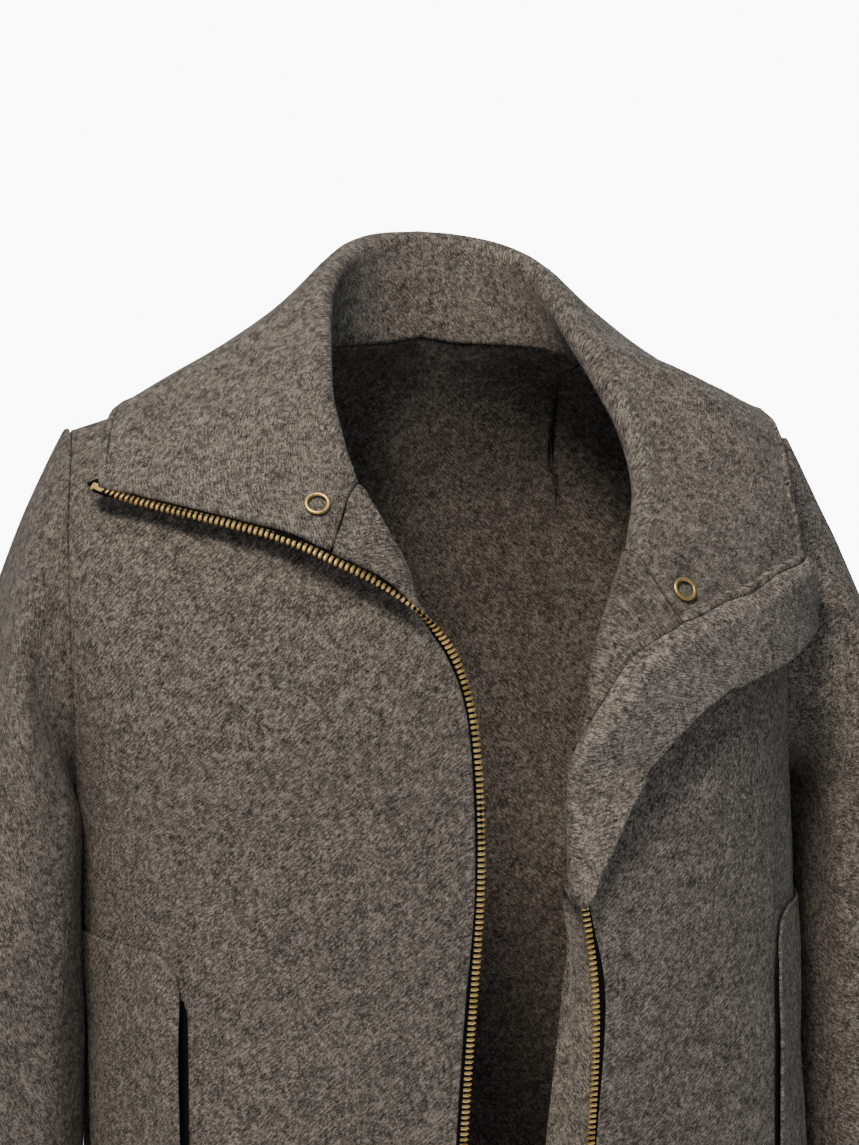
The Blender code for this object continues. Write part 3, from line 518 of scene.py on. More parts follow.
# tone above 1 makes a lighter copy of the wool, painted light for pieces that face up to the lamp
def woolMaterial(name, tone=1.0):
    material = bpy.data.materials.new(name)
    material.use_nodes = True
    tree = material.node_tree
    link = tree.links.new
    shader = tree.nodes["Principled BSDF"]
    flat = addNode(tree, "ShaderNodeUVMap", uv_map=weaveMap).outputs["UV"]
    solid = addNode(tree, "ShaderNodeTexCoord").outputs["Object"]

    def onCloth(long, wide, angle):
        node = addNode(tree, "ShaderNodeMapping", vector_type="TEXTURE")
        setInputs(node, Rotation=(0.0, 0.0, math.radians(angle)), Scale=(long, wide, 1.0))
        link(flat, node.inputs["Vector"])
        return node.outputs["Vector"]

    def noise(vector, scale, detail, roughness, distortion=0.0, flatNoise=False):
        node = addNode(tree, "ShaderNodeTexNoise", noise_dimensions="2D" if flatNoise else "3D")
        setInputs(node, Scale=scale, Detail=detail, Roughness=roughness, Distortion=distortion)
        link(vector, node.inputs["Vector"])
        return mathNode(tree, "SUBTRACT", node.outputs["Fac"], 0.5)

    long, wide = wool["fibre"]
    hairLong, hairWide, hairAngle = wool["hair"]
    scales, curl = wool["scales"], wool["curl"]
    curls = mathNode(tree, "ABSOLUTE", noise(solid, scales["curl"], 2.0, 0.55, 1.6))
    curls = mathNode(tree, "MULTIPLY", mathNode(tree, "MINIMUM", curls, curl["cap"]), curl["gain"])
    curls = mathNode(tree, "SUBTRACT", curl["top"], curls)
    layers = {
        "fibre": noise(onCloth(long, wide, wool["twillAngle"]), 1.0, 2.0, 0.6, 0.6, True),
        "hair": noise(onCloth(hairLong, hairWide, hairAngle), 1.0, 1.0, 0.5, 1.2, True),
        "curl": curls,
        "melange": noise(solid, scales["melange"], 3.0, 0.66, 0.4),
        "speck": noise(solid, scales["speck"], 1.0, 0.5),
        "patch": noise(solid, scales["patch"], 3.0, 0.62, 0.3),
    }
    ribs = addNode(tree, "ShaderNodeTexWave", bands_direction="Y")
    setInputs(ribs, Scale=oneBand, Distortion=2.2, Detail=2.0, Detail_Scale=0.4, Detail_Roughness=0.6)
    link(onCloth(wool["ribSize"], wool["ribSize"], wool["twillAngle"]), ribs.inputs["Vector"])
    layers["rib"] = mathNode(tree, "SUBTRACT", ribs.outputs["Fac"], 0.5)
    total = None
    for layer, weight in wool["weights"].items():
        part = mathNode(tree, "MULTIPLY", layers[layer], weight)
        total = part if total is None else mathNode(tree, "ADD", total, part)
    level = mathNode(tree, "ADD", mathNode(tree, "MULTIPLY", total, wool["contrast"]), 0.5, clamp=True)
    stops = [tuple(min(1.0, c * tone) for c in wool[key]) for key in ("dark", "mid", "light")]
    link(ramp(tree, level, ((0.06, stops[0]), (0.5, stops[1]), (1.0, stops[2]))), shader.inputs["Base Color"])
    bump = addNode(tree, "ShaderNodeBump")
    setInputs(bump, Strength=wool["bump"], Distance=0.0005)
    link(total, bump.inputs["Height"])
    link(bump.outputs["Normal"], shader.inputs["Normal"])
    setInputs(shader, Roughness=0.95)
    shader.inputs["Specular IOR Level"].default_value = 0.10
    shader.inputs["Sheen Weight"].default_value = 0.08
    shader.inputs["Sheen Roughness"].default_value = 0.5
    shader.inputs["Sheen Tint"].default_value = (0.75, 0.68, 0.60, 1.0)
    return material


brass = {
    "color": (0.83, 0.55, 0.20),
    "dark": (0.48, 0.29, 0.09),
    "roughness": (0.30, 0.48),
    "wear": 900.0,
    "tarnish": 130.0,
}


def brassMaterial(name):
    material = bpy.data.materials.new(name)
    material.use_nodes = True
    tree = material.node_tree
    shader = tree.nodes["Principled BSDF"]
    place = addNode(tree, "ShaderNodeTexCoord")
    wear = addNode(tree, "ShaderNodeTexNoise")
    setInputs(wear, Scale=brass["wear"], Detail=4.0, Roughness=0.65)
    tree.links.new(place.outputs["Object"], wear.inputs["Vector"])
    tarnish = addNode(tree, "ShaderNodeTexNoise")
    setInputs(tarnish, Scale=brass["tarnish"], Detail=3.0, Roughness=0.6)
    tree.links.new(place.outputs["Object"], tarnish.inputs["Vector"])
    tree.links.new(ramp(tree, tarnish.outputs["Fac"], ((0.32, brass["dark"]), (0.5, brass["color"]))),
                   shader.inputs["Base Color"])
    low, high = brass["roughness"]
    rough = ramp(tree, wear.outputs["Fac"], ((0.3, (low,) * 3), (0.7, (high,) * 3)))
    tree.links.new(rough, shader.inputs["Roughness"])
    setInputs(shader, Metallic=1.0)
    scratch = addNode(tree, "ShaderNodeBump")
    setInputs(scratch, Strength=0.15, Distance=0.00008)
    tree.links.new(wear.outputs["Fac"], scratch.inputs["Height"])
    tree.links.new(scratch.outputs["Normal"], shader.inputs["Normal"])
    return material


tape = {
    "color": (0.004, 0.004, 0.005),
    "thread": (0.013, 0.013, 0.015),
    "threadSize": 0.0006,
    "thick": 0.9,
    # how far out from the cloth's edge each line of points lies, and how much its cord raises it
    "reach": (-4.4, -2.0, 0.4, 1.6, 2.8, 4.2, 5.0, 5.6, 6.2, 6.7),
    "raised": (0.0, 0.0, 0.0, 0.0, 0.0, 0.0, 0.1, 0.35, 0.35, 0.1),
    "cut": {-1: (0.0112, 0.677), 1: (0.0112, 0.604)},
}


def tapeMaterial(name):
    material = bpy.data.materials.new(name)
    material.use_nodes = True
    tree = material.node_tree
    shader = tree.nodes["Principled BSDF"]
    place = addNode(tree, "ShaderNodeUVMap", uv_map=weaveMap)
    weave = []
    for direction in ("X", "Y"):
        threads = addNode(tree, "ShaderNodeTexWave", bands_direction=direction)
        setInputs(threads, Scale=oneBand / tape["threadSize"], Distortion=0.8, Detail=1.0)
        tree.links.new(place.outputs["UV"], threads.inputs["Vector"])
        weave.append(threads.outputs["Fac"])
    crossed = mathNode(tree, "MULTIPLY", weave[0], weave[1])
    color = ramp(tree, crossed, ((0.0, tape["color"]), (1.0, tape["thread"])))
    tree.links.new(color, shader.inputs["Base Color"])
    bump = addNode(tree, "ShaderNodeBump")
    setInputs(bump, Strength=0.5, Distance=0.0002)
    tree.links.new(crossed, bump.inputs["Height"])
    tree.links.new(bump.outputs["Normal"], shader.inputs["Normal"])
    setInputs(shader, Roughness=0.9)
    shader.inputs["Specular IOR Level"].default_value = 0.05
    return material


woolCloth = woolMaterial("wool")
# a copy of the wool 12% lighter for the collar: painted light, as the turned-back collar faces up to the lamp
woolCollarPaintedLight = woolMaterial("woolCollarPaintedLight", 1.12)
# a copy of the wool 35% lighter for the zip guard: painted light, as the guard faces up to the lamp
woolGuardPaintedLight = woolMaterial("woolGuardPaintedLight", 1.35)
tapeBlack = tapeMaterial("zipTape")
brassGold = brassMaterial("brass")
print("finishes made")


# Soft troughs and ridges. They die out at the seams, so that neighbouring pieces stay joined.
creases = (
    # where it lies, its two ends, how wide it is, and its height off the cloth
    ("on", "fromX", "fromY", "fromZ", "toX", "toY", "toZ", "wide", "high"),
    ("body", -70, -128, -150, -150, -95, -120, 22, -2.2),
    ("body", -60, -135, -330, -150, -120, -210, 26, 1.6),
    ("body", -45, -135, -470, -130, -125, -400, 24, -1.8),
    ("body", -185, -60, -240, -175, -70, -560, 16, -2.0),
    ("body", 80, -130, -300, 150, -105, -190, 24, 1.8),
    ("body", 60, -135, -440, 130, -120, -330, 26, -1.8),
    ("body", 165, -80, -230, 178, -60, -520, 14, -2.4),
    ("body", -90, 105, -120, 90, 108, -140, 30, -2.0),
    ("body", -120, 100, -330, -20, 118, -440, 30, 2.2),
    ("body", 120, 100, -300, 30, 118, -420, 30, -2.2),
    ("body", 168, 70, -185, 96, 112, -345, 18, -3.4),
    ("body", -172, 66, -195, -112, 108, -330, 20, -3.0),
    ("body", 8, 120, -170, -6, 118, -400, 30, 2.6),
    ("body", 62, 116, -455, 84, 110, -620, 17, 3.2),
    ("body", -58, 117, -500, -92, 108, -620, 19, 2.8),
    ("body", 150, 82, -400, 158, 76, -600, 16, -2.8),
    ("body", -156, 80, -360, -150, 84, -560, 18, -2.4),
    ("sleeveLeft", 205, -45, -110, 250, -62, -240, 15, -3.0),
    ("sleeveLeft", 232, -60, -270, 246, -68, -440, 11, 5.2),
    ("sleeveLeft", 262, -55, -250, 282, -58, -460, 13, -4.6),
    ("sleeveLeft", 214, -50, -250, 222, -55, -540, 12, -6.0),
    ("sleeveLeft", 285, -10, -300, 296, -20, -500, 16, 2.4),
    ("sleeveLeft", 230, 60, -220, 262, 55, -420, 20, -3.0),
    ("sleeveLeft", 262, 66, -330, 250, 40, -520, 16, 2.8),
    ("sleeveLeft", 298, -30, -335, 250, 55, -380, 13, -3.6),
    ("sleeveLeft", 296, -10, -395, 262, 58, -430, 12, 2.6),
    ("sleeveLeft", 236, -66, -360, 290, -44, -322, 9, -2.6),
    ("sleeveRight", -222, -40, -130, -262, -50, -330, 16, 2.6),
    ("sleeveRight", -216, -52, -220, -232, -62, -430, 11, -3.6),
    ("sleeveRight", -240, -62, -330, -236, -66, -520, 12, 3.4),
    ("sleeveRight", -270, -45, -260, -284, -50, -450, 15, -3.2),
    ("sleeveRight", -230, 60, -200, -262, 58, -400, 20, -3.0),
    ("sleeveRight", -262, 66, -340, -250, 42, -520, 16, 2.6),
    ("sleeveRight", -298, -26, -350, -254, 54, -392, 13, -3.4),
    ("sleeveRight", -294, -6, -410, -264, 56, -446, 12, 2.4),
    ("sleeveRight", -238, -66, -372, -290, -42, -338, 10, -3.0),
    ("sleeveRight", -230, -68, -330, -284, -50, -300, 9, 2.2),
    ("collar", -150, -70, -62, -90, -80, -52, 14, 1.4),
    ("collar", 160, -60, -78, 100, -78, -66, 13, 2.0),
    ("collar", 150, -88, -112, 92, -96, -92, 12, -1.6),
    ("collar", 120, -20, -10, 150, -50, -50, 12, -1.6),
)
ripples = (
    # a slow wave for each direction: x, y and z turns per metre, then its height
    (5.1, 3.3, 4.3, 0.5),
    (-3.7, 6.1, 6.9, 0.45),
    (9.3, -4.1, 3.1, 0.30),
    (2.3, 7.7, -11.3, 0.25),
    (14.9, 5.9, 12.7, 0.14),
    (-17.3, 11.1, 21.7, 0.09),
)
rippleStagger = 7.0                     # sets the waves off from each other
creaseEnds = {"steep": 4.0, "least": 0.25}


def eased(shape, firstRow=0, lastRow=0, firstCol=0, lastCol=0):
    # 0 at the named edges, 1 beyond the number of rows or columns given
    rows, cols = np.arange(shape[0])[:, None], np.arange(shape[1])[None, :]
    share = np.ones(shape)
    fromLastRow, fromLastCol = shape[0] - 1 - rows, shape[1] - 1 - cols
    for reach, far in ((firstRow, rows), (lastRow, fromLastRow), (firstCol, cols), (lastCol, fromLastCol)):
        if reach:
            t = np.clip(far / reach, 0.0, 1.0)
            share = share * (t * t * (3 - 2 * t))
    return share


def creased(grid, group, share, flip=False, wrap=False):
    # moves each point along its normal by the ripples and by its own group's creases
    normal = gridNormals(grid, flip, wrap, stretch=False)
    height = np.zeros(grid.shape[:2])
    for turnX, turnY, turnZ, high in ripples:
        phase = (grid @ np.array([turnX, turnY, turnZ])) * mm * 2 * math.pi
        height += high * np.sin(phase + rippleStagger * high)
    for on, ax, ay, az, bx, by, bz, wide, high in creases[1:]:
        if on != group:
            continue
        a, b = np.array([ax, ay, az], float), np.array([bx, by, bz], float)
        along = b - a
        t = np.clip(((grid - a) @ along) / (along @ along), 0.0, 1.0)
        off = np.linalg.norm(grid - (a + t[..., None] * along), axis=-1) / wide
        fade = np.sqrt(np.clip(np.minimum(t, 1.0 - t) * creaseEnds["steep"], 0.0, 1.0))
        fade = fade * (1.0 - creaseEnds["least"]) + creaseEnds["least"]
        height += high * fade * np.exp(-off**2)
    return grid + normal * (height * share)[..., None]


# Collar and fronts.
fronts = {
    "rowCuts": 6, "shoulderCuts": 20, "arcCuts": 9, "tailCuts": 12,
    "lapelCuts": topstitch["between"] + len(topstitch["columns"]) - 1,
    "hold": 6.0, "spread": 1.6,
    # how far the zip edge comes out over its tape, the table row from which it's turned back, and
    # on the left the row by which the guard covers it, with what is left of it there
    "overTape": {"turned": 3.3, "flat": 2.2, "turnsAt": 7.0, "guardAt": 5.0, "underGuard": 0.15},
    "thicken": (3, 4.0),                             # columns before the lapel, and over how many
    "facingRows": {-1: (4.6, 6.0), 1: (5.4, 6.6)},   # the table rows over which the inner layer comes in
    "cut": {-1: (0.29, 0.67, 0.139), 1: (0.335, 0.665, 0.124)},
}
frontHeads = ("sideZ", "foldX", "foldZ", "edgeX", "edgeZ", "lift")
frontRight = (
    frontHeads,
    (-620, -40, -620, -40, -620, 0),
    (-520, -36, -520, -36, -520, 0),
    (-430, -33, -430, -33, -430, 0),
    (-340, -28, -338, -28, -338, 0),
    (-280, -23, -273, -23, -273, 0),
    (-235, -24, -218, -24, -218, 0),
    (-205, -27, -182, -27, -182, 0),
    (-175, -34, -158, -34, -158, 0),
    (-140, -43, -137, -47, -139, 7),
    (-105, -49, -112, -60, -122, 11),
    (-75, -58, -91, -77, -112, 12),
    (-50, -69, -68, -86, -108, 12),
)
frontLeft = (
    frontHeads,
    (-620, 43, -620, 43, -620, 0),
    (-520, 46, -520, 46, -520, 0),
    (-430, 48, -430, 48, -430, 0),
    (-340, 53, -338, 53, -338, 0),
    (-280, 43, -283, 43, -283, 0),
    (-235, 37, -236, 37, -236, 0),
    (-205, 36, -207, 38, -206, 6),
    (-175, 38, -184, 45, -187, 10),
    (-140, 42, -161, 58, -165, 12),
    (-105, 50, -139, 72, -155, 12),
    (-75, 60, -118, 82, -150, 12),
    (-50, 67, -103, 87, -147, 12),
)

collar = {
    "stationCuts": 4, "standCuts": 7, "fallCuts": 22,
    "cornerStation": 5, "neckStation": {-1: 4, 1: 5}, "leftOverTape": 0.3, "cut": (0.83, 0.20, 0.071),
}
collarHeads = ("seamX", "seamY", "seamZ", "foldX", "foldY", "foldZ", "edgeX", "edgeY", "edgeZ",
               "sag", "clear")
collarRight = (
    collarHeads,
    (-79, -72, -72, -69, -78, -67, -88, -105, -102, 0, 1),
    (-83, -58, -54, -72, -66, -51, -106, -97, -93, 1, 6),
    (-84, -42, -38, -73, -50, -31, -128, -87, -87, 2, 6),
    (-83, -24, -22, -71, -33, -14, -156, -73, -80, 2, 4),
    (-81, -6, -12, -68, -16, 2, -178, -58, -75, 2, 1),
    (-77, 14, -8, -65, 2, 18, -195, -43, -69, 3, -1),
    (-68, 28, -3, -61, 18, 34, -183, -8, -41, 3, -1),
    (-55, 42, 2, -52, 34, 46, -152, 44, -36, 4, 2),
    (-38, 54, 4, -38, 49, 55, -104, 74, -27, 4, 4),
    (-20, 61, 4, -20, 59, 60, -53, 90, -19, 4, 5),
    (0, 63, 4, 0, 63, 62, 0, 96, -15, 4, 5),
)
collarLeft = (
    collarHeads,
    (78, -92, -107, 67, -98, -104, 90, -119, -144, 0, 1),
    (86, -76, -85, 75, -85, -80, 101, -115, -141, 1, 6),
    (87, -64, -66, 76, -75, -63, 117, -109, -135, 1, 6),
    (86, -48, -48, 75, -62, -45, 134, -101, -132, 2, 6),
    (85, -30, -30, 71, -47, -27, 152, -89, -125, 3, 6),
    (83, -10, -14, 68, -30, -11, 175, -73, -118, 5, 6),
    (79, 10, -8, 65, -12, 6, 175, -65, -97, 5, 9),
    (73, 22, -6, 62, 4, 22, 175, -55, -76, 6, 10),
    (60, 38, 0, 56, 26, 42, 181, -5, -48, 8, 6),
    (42, 52, 3, 41, 47, 54, 138, 50, -38, 8, 3),
    (21, 61, 4, 21, 59, 60, 76, 84, -25, 5, 4),
    (0, 63, 4, 0, 63, 62, 0, 96, -15, 4, 5),
)


def finer(table, cuts):
    rows = columns(table, *table[0])
    return spline(rows, np.linspace(0, len(rows) - 1, (len(rows) - 1) * cuts + 1))


def collarFrames(side):
    rows = finer(collarRight if side < 0 else collarLeft, collar["stationCuts"])
    seam, fold, edge, drape = snapOn(rows[:, 0:3]), rows[:, 3:6], rows[:, 6:9], rows[:, 9:11]
    run = unit(np.gradient(fold, axis=0))
    toward = squareTo(fold - seam, run)
    away = unit(np.cross(toward, run)) * -side
    return seam, fold - toward * cloth["rollReach"], toward, away, edge, drape


def collarGrid():
    cuts = collar["fallCuts"]
    share = np.arange(1, cuts + 1) / cuts
    halves = []
    for side in (-1, 1):
        seam, foot, toward, away, edge, drape = collarFrames(side)
        rows = []
        for k, (sag, clear) in enumerate(drape):
            stand = straightOn(seam[k], foot[k], collar["standCuts"])
            arc = foldRound(foot[k], toward[k], away[k], edge[k], cloth["foldRadius"], fronts["arcCuts"])
            fall = straightOn(arc[-1], edge[k], cuts)
            _, ray = fromCentre(fall, cloth["drapeWiden"])
            fall -= unit(ray) * (sag * 4.0 * share * (1.0 - share))[:, None]
            fall = pushOut(fall, clear)
            fall = edgeSpaced(np.vstack([arc[-1:], fall]), cuts - topstitch["between"])[1:]
            rows.append(np.vstack([seam[k:k + 1], stand, arc, fall]))
        halves.append(np.array(rows))
    right, left = halves
    return np.concatenate([right, left[::-1][1:]])


def sideX(side, z):
    word = "right" if side < 0 else "left"
    low, high = byHeight(torso, word + "Width", z), byHeight(armhole, word + "X", z)
    share = np.clip((z - figure["underarmZ"]) / figure["underarmBlend"] + 0.5, 0.0, 1.0)
    return low + (high - low) * share * share * (3 - 2 * share)


def filled(left, right, top, spread, hold):
    level = np.linspace(0.0, 1.0, len(left))
    even = np.linspace(0.0, 1.0, len(top))
    topBase = left[-1] + (right[-1] - left[-1]) * even[:, None]
    rows = []
    for k, share in enumerate(level ** hold):
        base = left[k] + (right[k] - left[k]) * (spread + (even - spread) * share)[:, None]
        rows.append(base + share * (top - topBase))
    return np.array(rows)


def frontGrid(side):
    table = frontRight if side < 0 else frontLeft
    sideZ, foldX, foldZ, edgeX, edgeZ, lift = finer(table, fronts["rowCuts"]).T
    fold, away = surfacePoint(foldX, foldZ)
    run = unit(np.gradient(fold, axis=0))
    toward = unit(np.cross(away, run)) * side
    foot = fold - toward * cloth["rollReach"]
    foot, _ = surfacePoint(foot[:, 0], foot[:, 2])
    edge, _ = surfacePoint(edgeX, edgeZ, lift=lift)
    seam, collarFoot, collarToward, collarAway, collarEdge, _ = collarFrames(side)
    foot[-1], edge[-1] = collarFoot[0], collarEdge[0]
    toward[-1], away[-1] = collarToward[0], collarAway[0]
    tip = side * shoulderX(side)
    shoulder = [(tip, shoulderZ(tip)), (side * figure["neckX"], figure["neckZ"])]
    last = collar["neckStation"][side] * collar["stationCuts"]
    neckline = np.vstack([seam[last::-1], foot[-1:]])
    cuts = fronts["shoulderCuts"]
    top = np.vstack([alongLine(shoulder, cuts), neckline[:, [0, 2]]])
    left = np.stack([side * sideX(side, sideZ), sideZ], -1)
    left[-1] = top[0]
    even = np.linspace(0.0, 1.0, len(top))
    flat = filled(left, foot[:, [0, 2]], top, even ** fronts["spread"], fronts["hold"])
    panel = np.stack([flat[..., 0], torsoY(flat[..., 0], flat[..., 1], True), flat[..., 1]], -1)
    panel[:, -1] = foot
    panel[-1, cuts + 1:] = neckline
    grid = []
    for k in range(len(sideZ)):
        arc = foldRound(foot[k], toward[k], away[k], edge[k], cloth["foldRadius"], fronts["arcCuts"])
        tail = np.vstack([foot[k:k + 1], arc, straightOn(arc[-1], edge[k], fronts["tailCuts"])])
        grid.append(np.vstack([panel[k], edgeSpaced(tail, fronts["arcCuts"])[1:]]))
    return np.array(grid)


def grown(grid, amount):
    # the zip edge moved out over its tape
    grid = grid.copy()
    grid[:, -1] += unit(grid[:, -1] - grid[:, -3]) * amount[:, None]
    return grid


def frontWall(side, grid):
    # the lapel part has its inner layer as well
    rows, cols = grid.shape[:2]
    low, high = fronts["facingRows"][side]
    row = np.clip((np.arange(rows) / fronts["rowCuts"] - low) / (high - low), 0.0, 1.0)
    turned = cols - fronts["arcCuts"] - fronts["lapelCuts"] - 1
    early, over = fronts["thicken"]
    col = np.clip((np.arange(cols) - turned + early) / over, 0.0, 1.0)
    more = cloth["layerGap"] + cloth["facing"]
    return cloth["wall"] + more * (row * row * (3 - 2 * row))[:, None] * col[None, :]


def sidePlace(grid, side):
    place = gridPlace(grid)
    place[..., 0] *= -side
    return place


bothLayers = cloth["wall"] + cloth["layerGap"] + cloth["facing"]
pieces = {}
grids = {}
collarCloth = collarGrid()
collarCloth = creased(collarCloth, "collar", eased(collarCloth.shape[:2], firstRow=8, lastRow=8, firstCol=12))
collarPlace = gridPlace(collarCloth)
zipEdge = collar["cornerStation"] * collar["stationCuts"]
spread = np.zeros(len(collarCloth))
spread[:zipEdge] = spread[-zipEdge:] = fronts["overTape"]["turned"]
spread[-zipEdge:] *= collar["leftOverTape"]
sewn = np.full((len(collarCloth), 1), topstitch["pastZip"])
sewn[:zipEdge] = sewn[-zipEdge:] = 1.0
shownCollar, collarWall = stitched(grown(collarCloth, spread), bothLayers, False, sewn)
# the collar takes the lighter copy of the wool, painted light
pieces["collar"] = clothWall("collar", shownCollar, collarWall, woolCollarPaintedLight,
                             place=collarPlace[..., ::-1] * (1, -1), openEnds=(True, True))
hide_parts("collar_outer", "collar_inner")
turned = fronts["arcCuts"] + fronts["lapelCuts"] + 1
overTape = fronts["overTape"]
for side, word in ((-1, "Right"), (1, "Left")):
    grid = frontGrid(side)
    row = np.arange(len(grid)) / fronts["rowCuts"]
    # the turned-back part keeps its own even form
    share = np.zeros(grid.shape[:2])
    share[:, :-turned] = eased(share[:, :-turned].shape, lastRow=8, firstCol=5, lastCol=8)
    grid = creased(grid, "body", share, side > 0)
    grids[side] = grid
    turnedOver = np.clip(row - overTape["turnsAt"], 0.0, 1.0)
    amount = overTape["flat"] * (1.0 - turnedOver) + overTape["turned"] * turnedOver
    if side > 0:
        amount *= np.clip(overTape["guardAt"] - row, overTape["underGuard"], 1.0)
    shown, wall = stitched(grown(grid, amount), frontWall(side, grid), side > 0, 1.0)
    item = clothWall("front" + word, shown, wall, woolCloth, side > 0, place=sidePlace(grid, side),
                     openEnds=(False, True))
    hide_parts("front_" + word.lower(), "facing_" + word.lower())
    pieces["front" + word] = item
print("collar and fronts made")

# Back.
back = {"lowerRows": 34, "upperRows": 26, "hold": 3.0, "cut": (0.54, 0.68, 0.310)}


def backGrid():
    upper = np.linspace(figure["underarmZ"], column(armhole, "z")[-1], back["upperRows"])
    z = np.concatenate([np.linspace(figure["hemZ"], figure["underarmZ"], back["lowerRows"]), upper[1:]])
    seams = []
    for side in (-1, 1):
        neck = collar["neckStation"][side] * collar["stationCuts"]
        seams.append(collarFrames(side)[0][neck + 1:])
    neckline = np.vstack([seams[0], seams[1][::-1][1:]])
    slopes = []
    cuts = fronts["shoulderCuts"]
    for side in (-1, 1):
        tip = side * shoulderX(side)
        slopes.append(alongLine([(tip, shoulderZ(tip)), (side * figure["neckX"], figure["neckZ"])], cuts))
    top = np.vstack([slopes[0], neckline[:, [0, 2]], slopes[1][::-1]])
    left = np.stack([-sideX(-1, z), z], -1)
    right = np.stack([sideX(1, z), z], -1)
    even = np.linspace(0.0, 1.0, len(top))
    flat = filled(left, right, top, 0.5 - 0.5 * np.cos(math.pi * even), back["hold"])
    grid = np.stack([flat[..., 0], torsoY(flat[..., 0], flat[..., 1], False), flat[..., 1]], -1)
    grid[-1, cuts + 1:-cuts - 1] = neckline
    return grid


backCloth = backGrid()
backCloth = creased(backCloth, "body", eased(backCloth.shape[:2], lastRow=8, firstCol=5, lastCol=5), True)
pieces["back"] = clothWall("backPanel", backCloth, cloth["wall"], woolCloth, True,
                           place=gridPlace(backCloth) * (-1, 1))
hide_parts("back")
print("back made")

# Sleeves.
sleeves = {"ringCuts": 60, "capRings": 26, "ringSteps": 11, "headSlope": 1.8, "headSpread": 0.25,
           "gap": -0.5, "clear": 3.0, "cut": (0.47, 0.56, 0.151)}
sleeveRings = (
    ("x", "y", "z", "across", "along", "tilt"),
    (238, 4, -255, 38, 72, 14),
    (247, 5, -320, 45, 70, 9),
    (252, 2, -400, 48, 64, 4),
    (255.5, -9, -490, 45, 56, 2),
    (259.5, -24, -590, 40, 48, 2),
)


def clearOfTorso(points, side):
    y, z = points[..., 1], points[..., 2]
    wide = byHeight(torso, "rightWidth" if side < 0 else "leftWidth", z)
    power = figure["sidePower"]
    out = 1.0 - np.minimum(1.0, np.abs(y - figure["shoulderY"]) / halfDepth(y, z)) ** power
    points[..., 0] = np.maximum(points[..., 0], wide * out ** (1.0 / power) + sleeves["clear"])
    return points


def sleeveGrid(side):
    cuts = sleeves["ringCuts"]
    tip = shoulderZ(side * shoulderX(side))
    low = figure["underarmZ"]
    armZ = low + (tip - low) * (0.5 + 0.5 * np.cos(2 * math.pi * np.arange(cuts // 2 + 1) / cuts))
    armX = sideX(side, armZ)
    ahead, behind = (np.stack([armX, torsoY(side * armX, armZ, face), armZ], -1) for face in (True, False))
    start = np.vstack([ahead, behind[::-1][1:-1]])
    start[:, 0] += sleeves["gap"]
    angle = 2 * math.pi * np.arange(cuts) / cuts
    tubes = []
    for x, y, z, across, along, tilt in finer(sleeveRings, sleeves["ringSteps"]):
        drop = -np.cos(angle) * across * math.sin(math.radians(tilt))
        spread = np.cos(angle) * across * math.cos(math.radians(tilt))
        tubes.append(clearOfTorso(np.stack([x + spread, y - np.sin(angle) * along, z + drop], -1), side))
    first = tubes[0]
    span = np.linalg.norm(first - start, axis=1)[:, None]
    downward = sleeves["headSlope"] * np.maximum(0.0, np.cos(angle))
    leave = unit(np.stack([np.ones(cuts), -sleeves["headSpread"] * np.sin(angle), -downward], -1)) * span
    arrive = unit(tubes[3] - tubes[0]) * span
    cap = []
    for t in np.linspace(0.0, 1.0, sleeves["capRings"] + 1)[:-1]:
        cap.append((2 * t**3 - 3 * t**2 + 1) * start + (t**3 - 2 * t**2 + t) * leave
                   + (-2 * t**3 + 3 * t**2) * first + (t**3 - t**2) * arrive)
    grid = np.array(cap + tubes)
    grid[..., 0] *= side
    return grid


for side, word in ((-1, "Right"), (1, "Left")):
    grid = sleeveGrid(side)
    grid = creased(grid, "sleeve" + word, eased(grid.shape[:2], firstRow=6), side > 0, True)
    item = clothWall("sleeve" + word, grid, cloth["wall"], woolCloth, side > 0, True,
                     place=sidePlace(grid, side))
    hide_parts("sleeve_" + word.lower())
    pieces["sleeve" + word] = item
print("sleeves made")

# Zip edges, shared by the guard, the tapes and the teeth, and the spread in rows that evens them.
evenOver = {"frames": 3.0, "teeth": 2.5}


def evened(values, sigma):
    # each row's weighted mean with its neighbours
    steps = np.arange(-int(3 * sigma), int(3 * sigma) + 1)
    weights = np.exp(-0.5 * (steps / sigma) ** 2)
    count = len(values)
    total = np.zeros_like(values)
    for step, weight in zip(steps, weights / weights.sum()):
        at = np.arange(count) + step
        low, high = np.clip(at, 0, count - 1), np.clip(-at, 0, count - 1)
        inside = values[low]
        inside = np.where((at < 0)[:, None], 2 * values[0] - values[high], inside)
        past = np.clip(2 * (count - 1) - at, 0, count - 1)
        inside = np.where((at > count - 1)[:, None], 2 * values[-1] - values[past], inside)
        total += weight * inside
    return total


def edgeFrames(side):
    ordered = collarCloth if side < 0 else collarCloth[::-1]
    lapel = np.concatenate([grids[side][:, -3:], ordered[1:zipEdge + 1, -3:]])
    points = lapel[:, -1]
    normals = gridNormals(lapel, side > 0, stretch=False)[:, -1]
    run = unit(np.gradient(points, axis=0))
    outs = squareTo(unit(lapel[:, -1] - lapel[:, -2]), run)
    square = unit(np.cross(outs, run))
    square = square * np.sign(dot(square, normals))[:, None]
    return points, unit(evened(outs, evenOver["frames"])), unit(evened(square, evenOver["frames"]))


frames = {side: edgeFrames(side) for side in (-1, 1)}

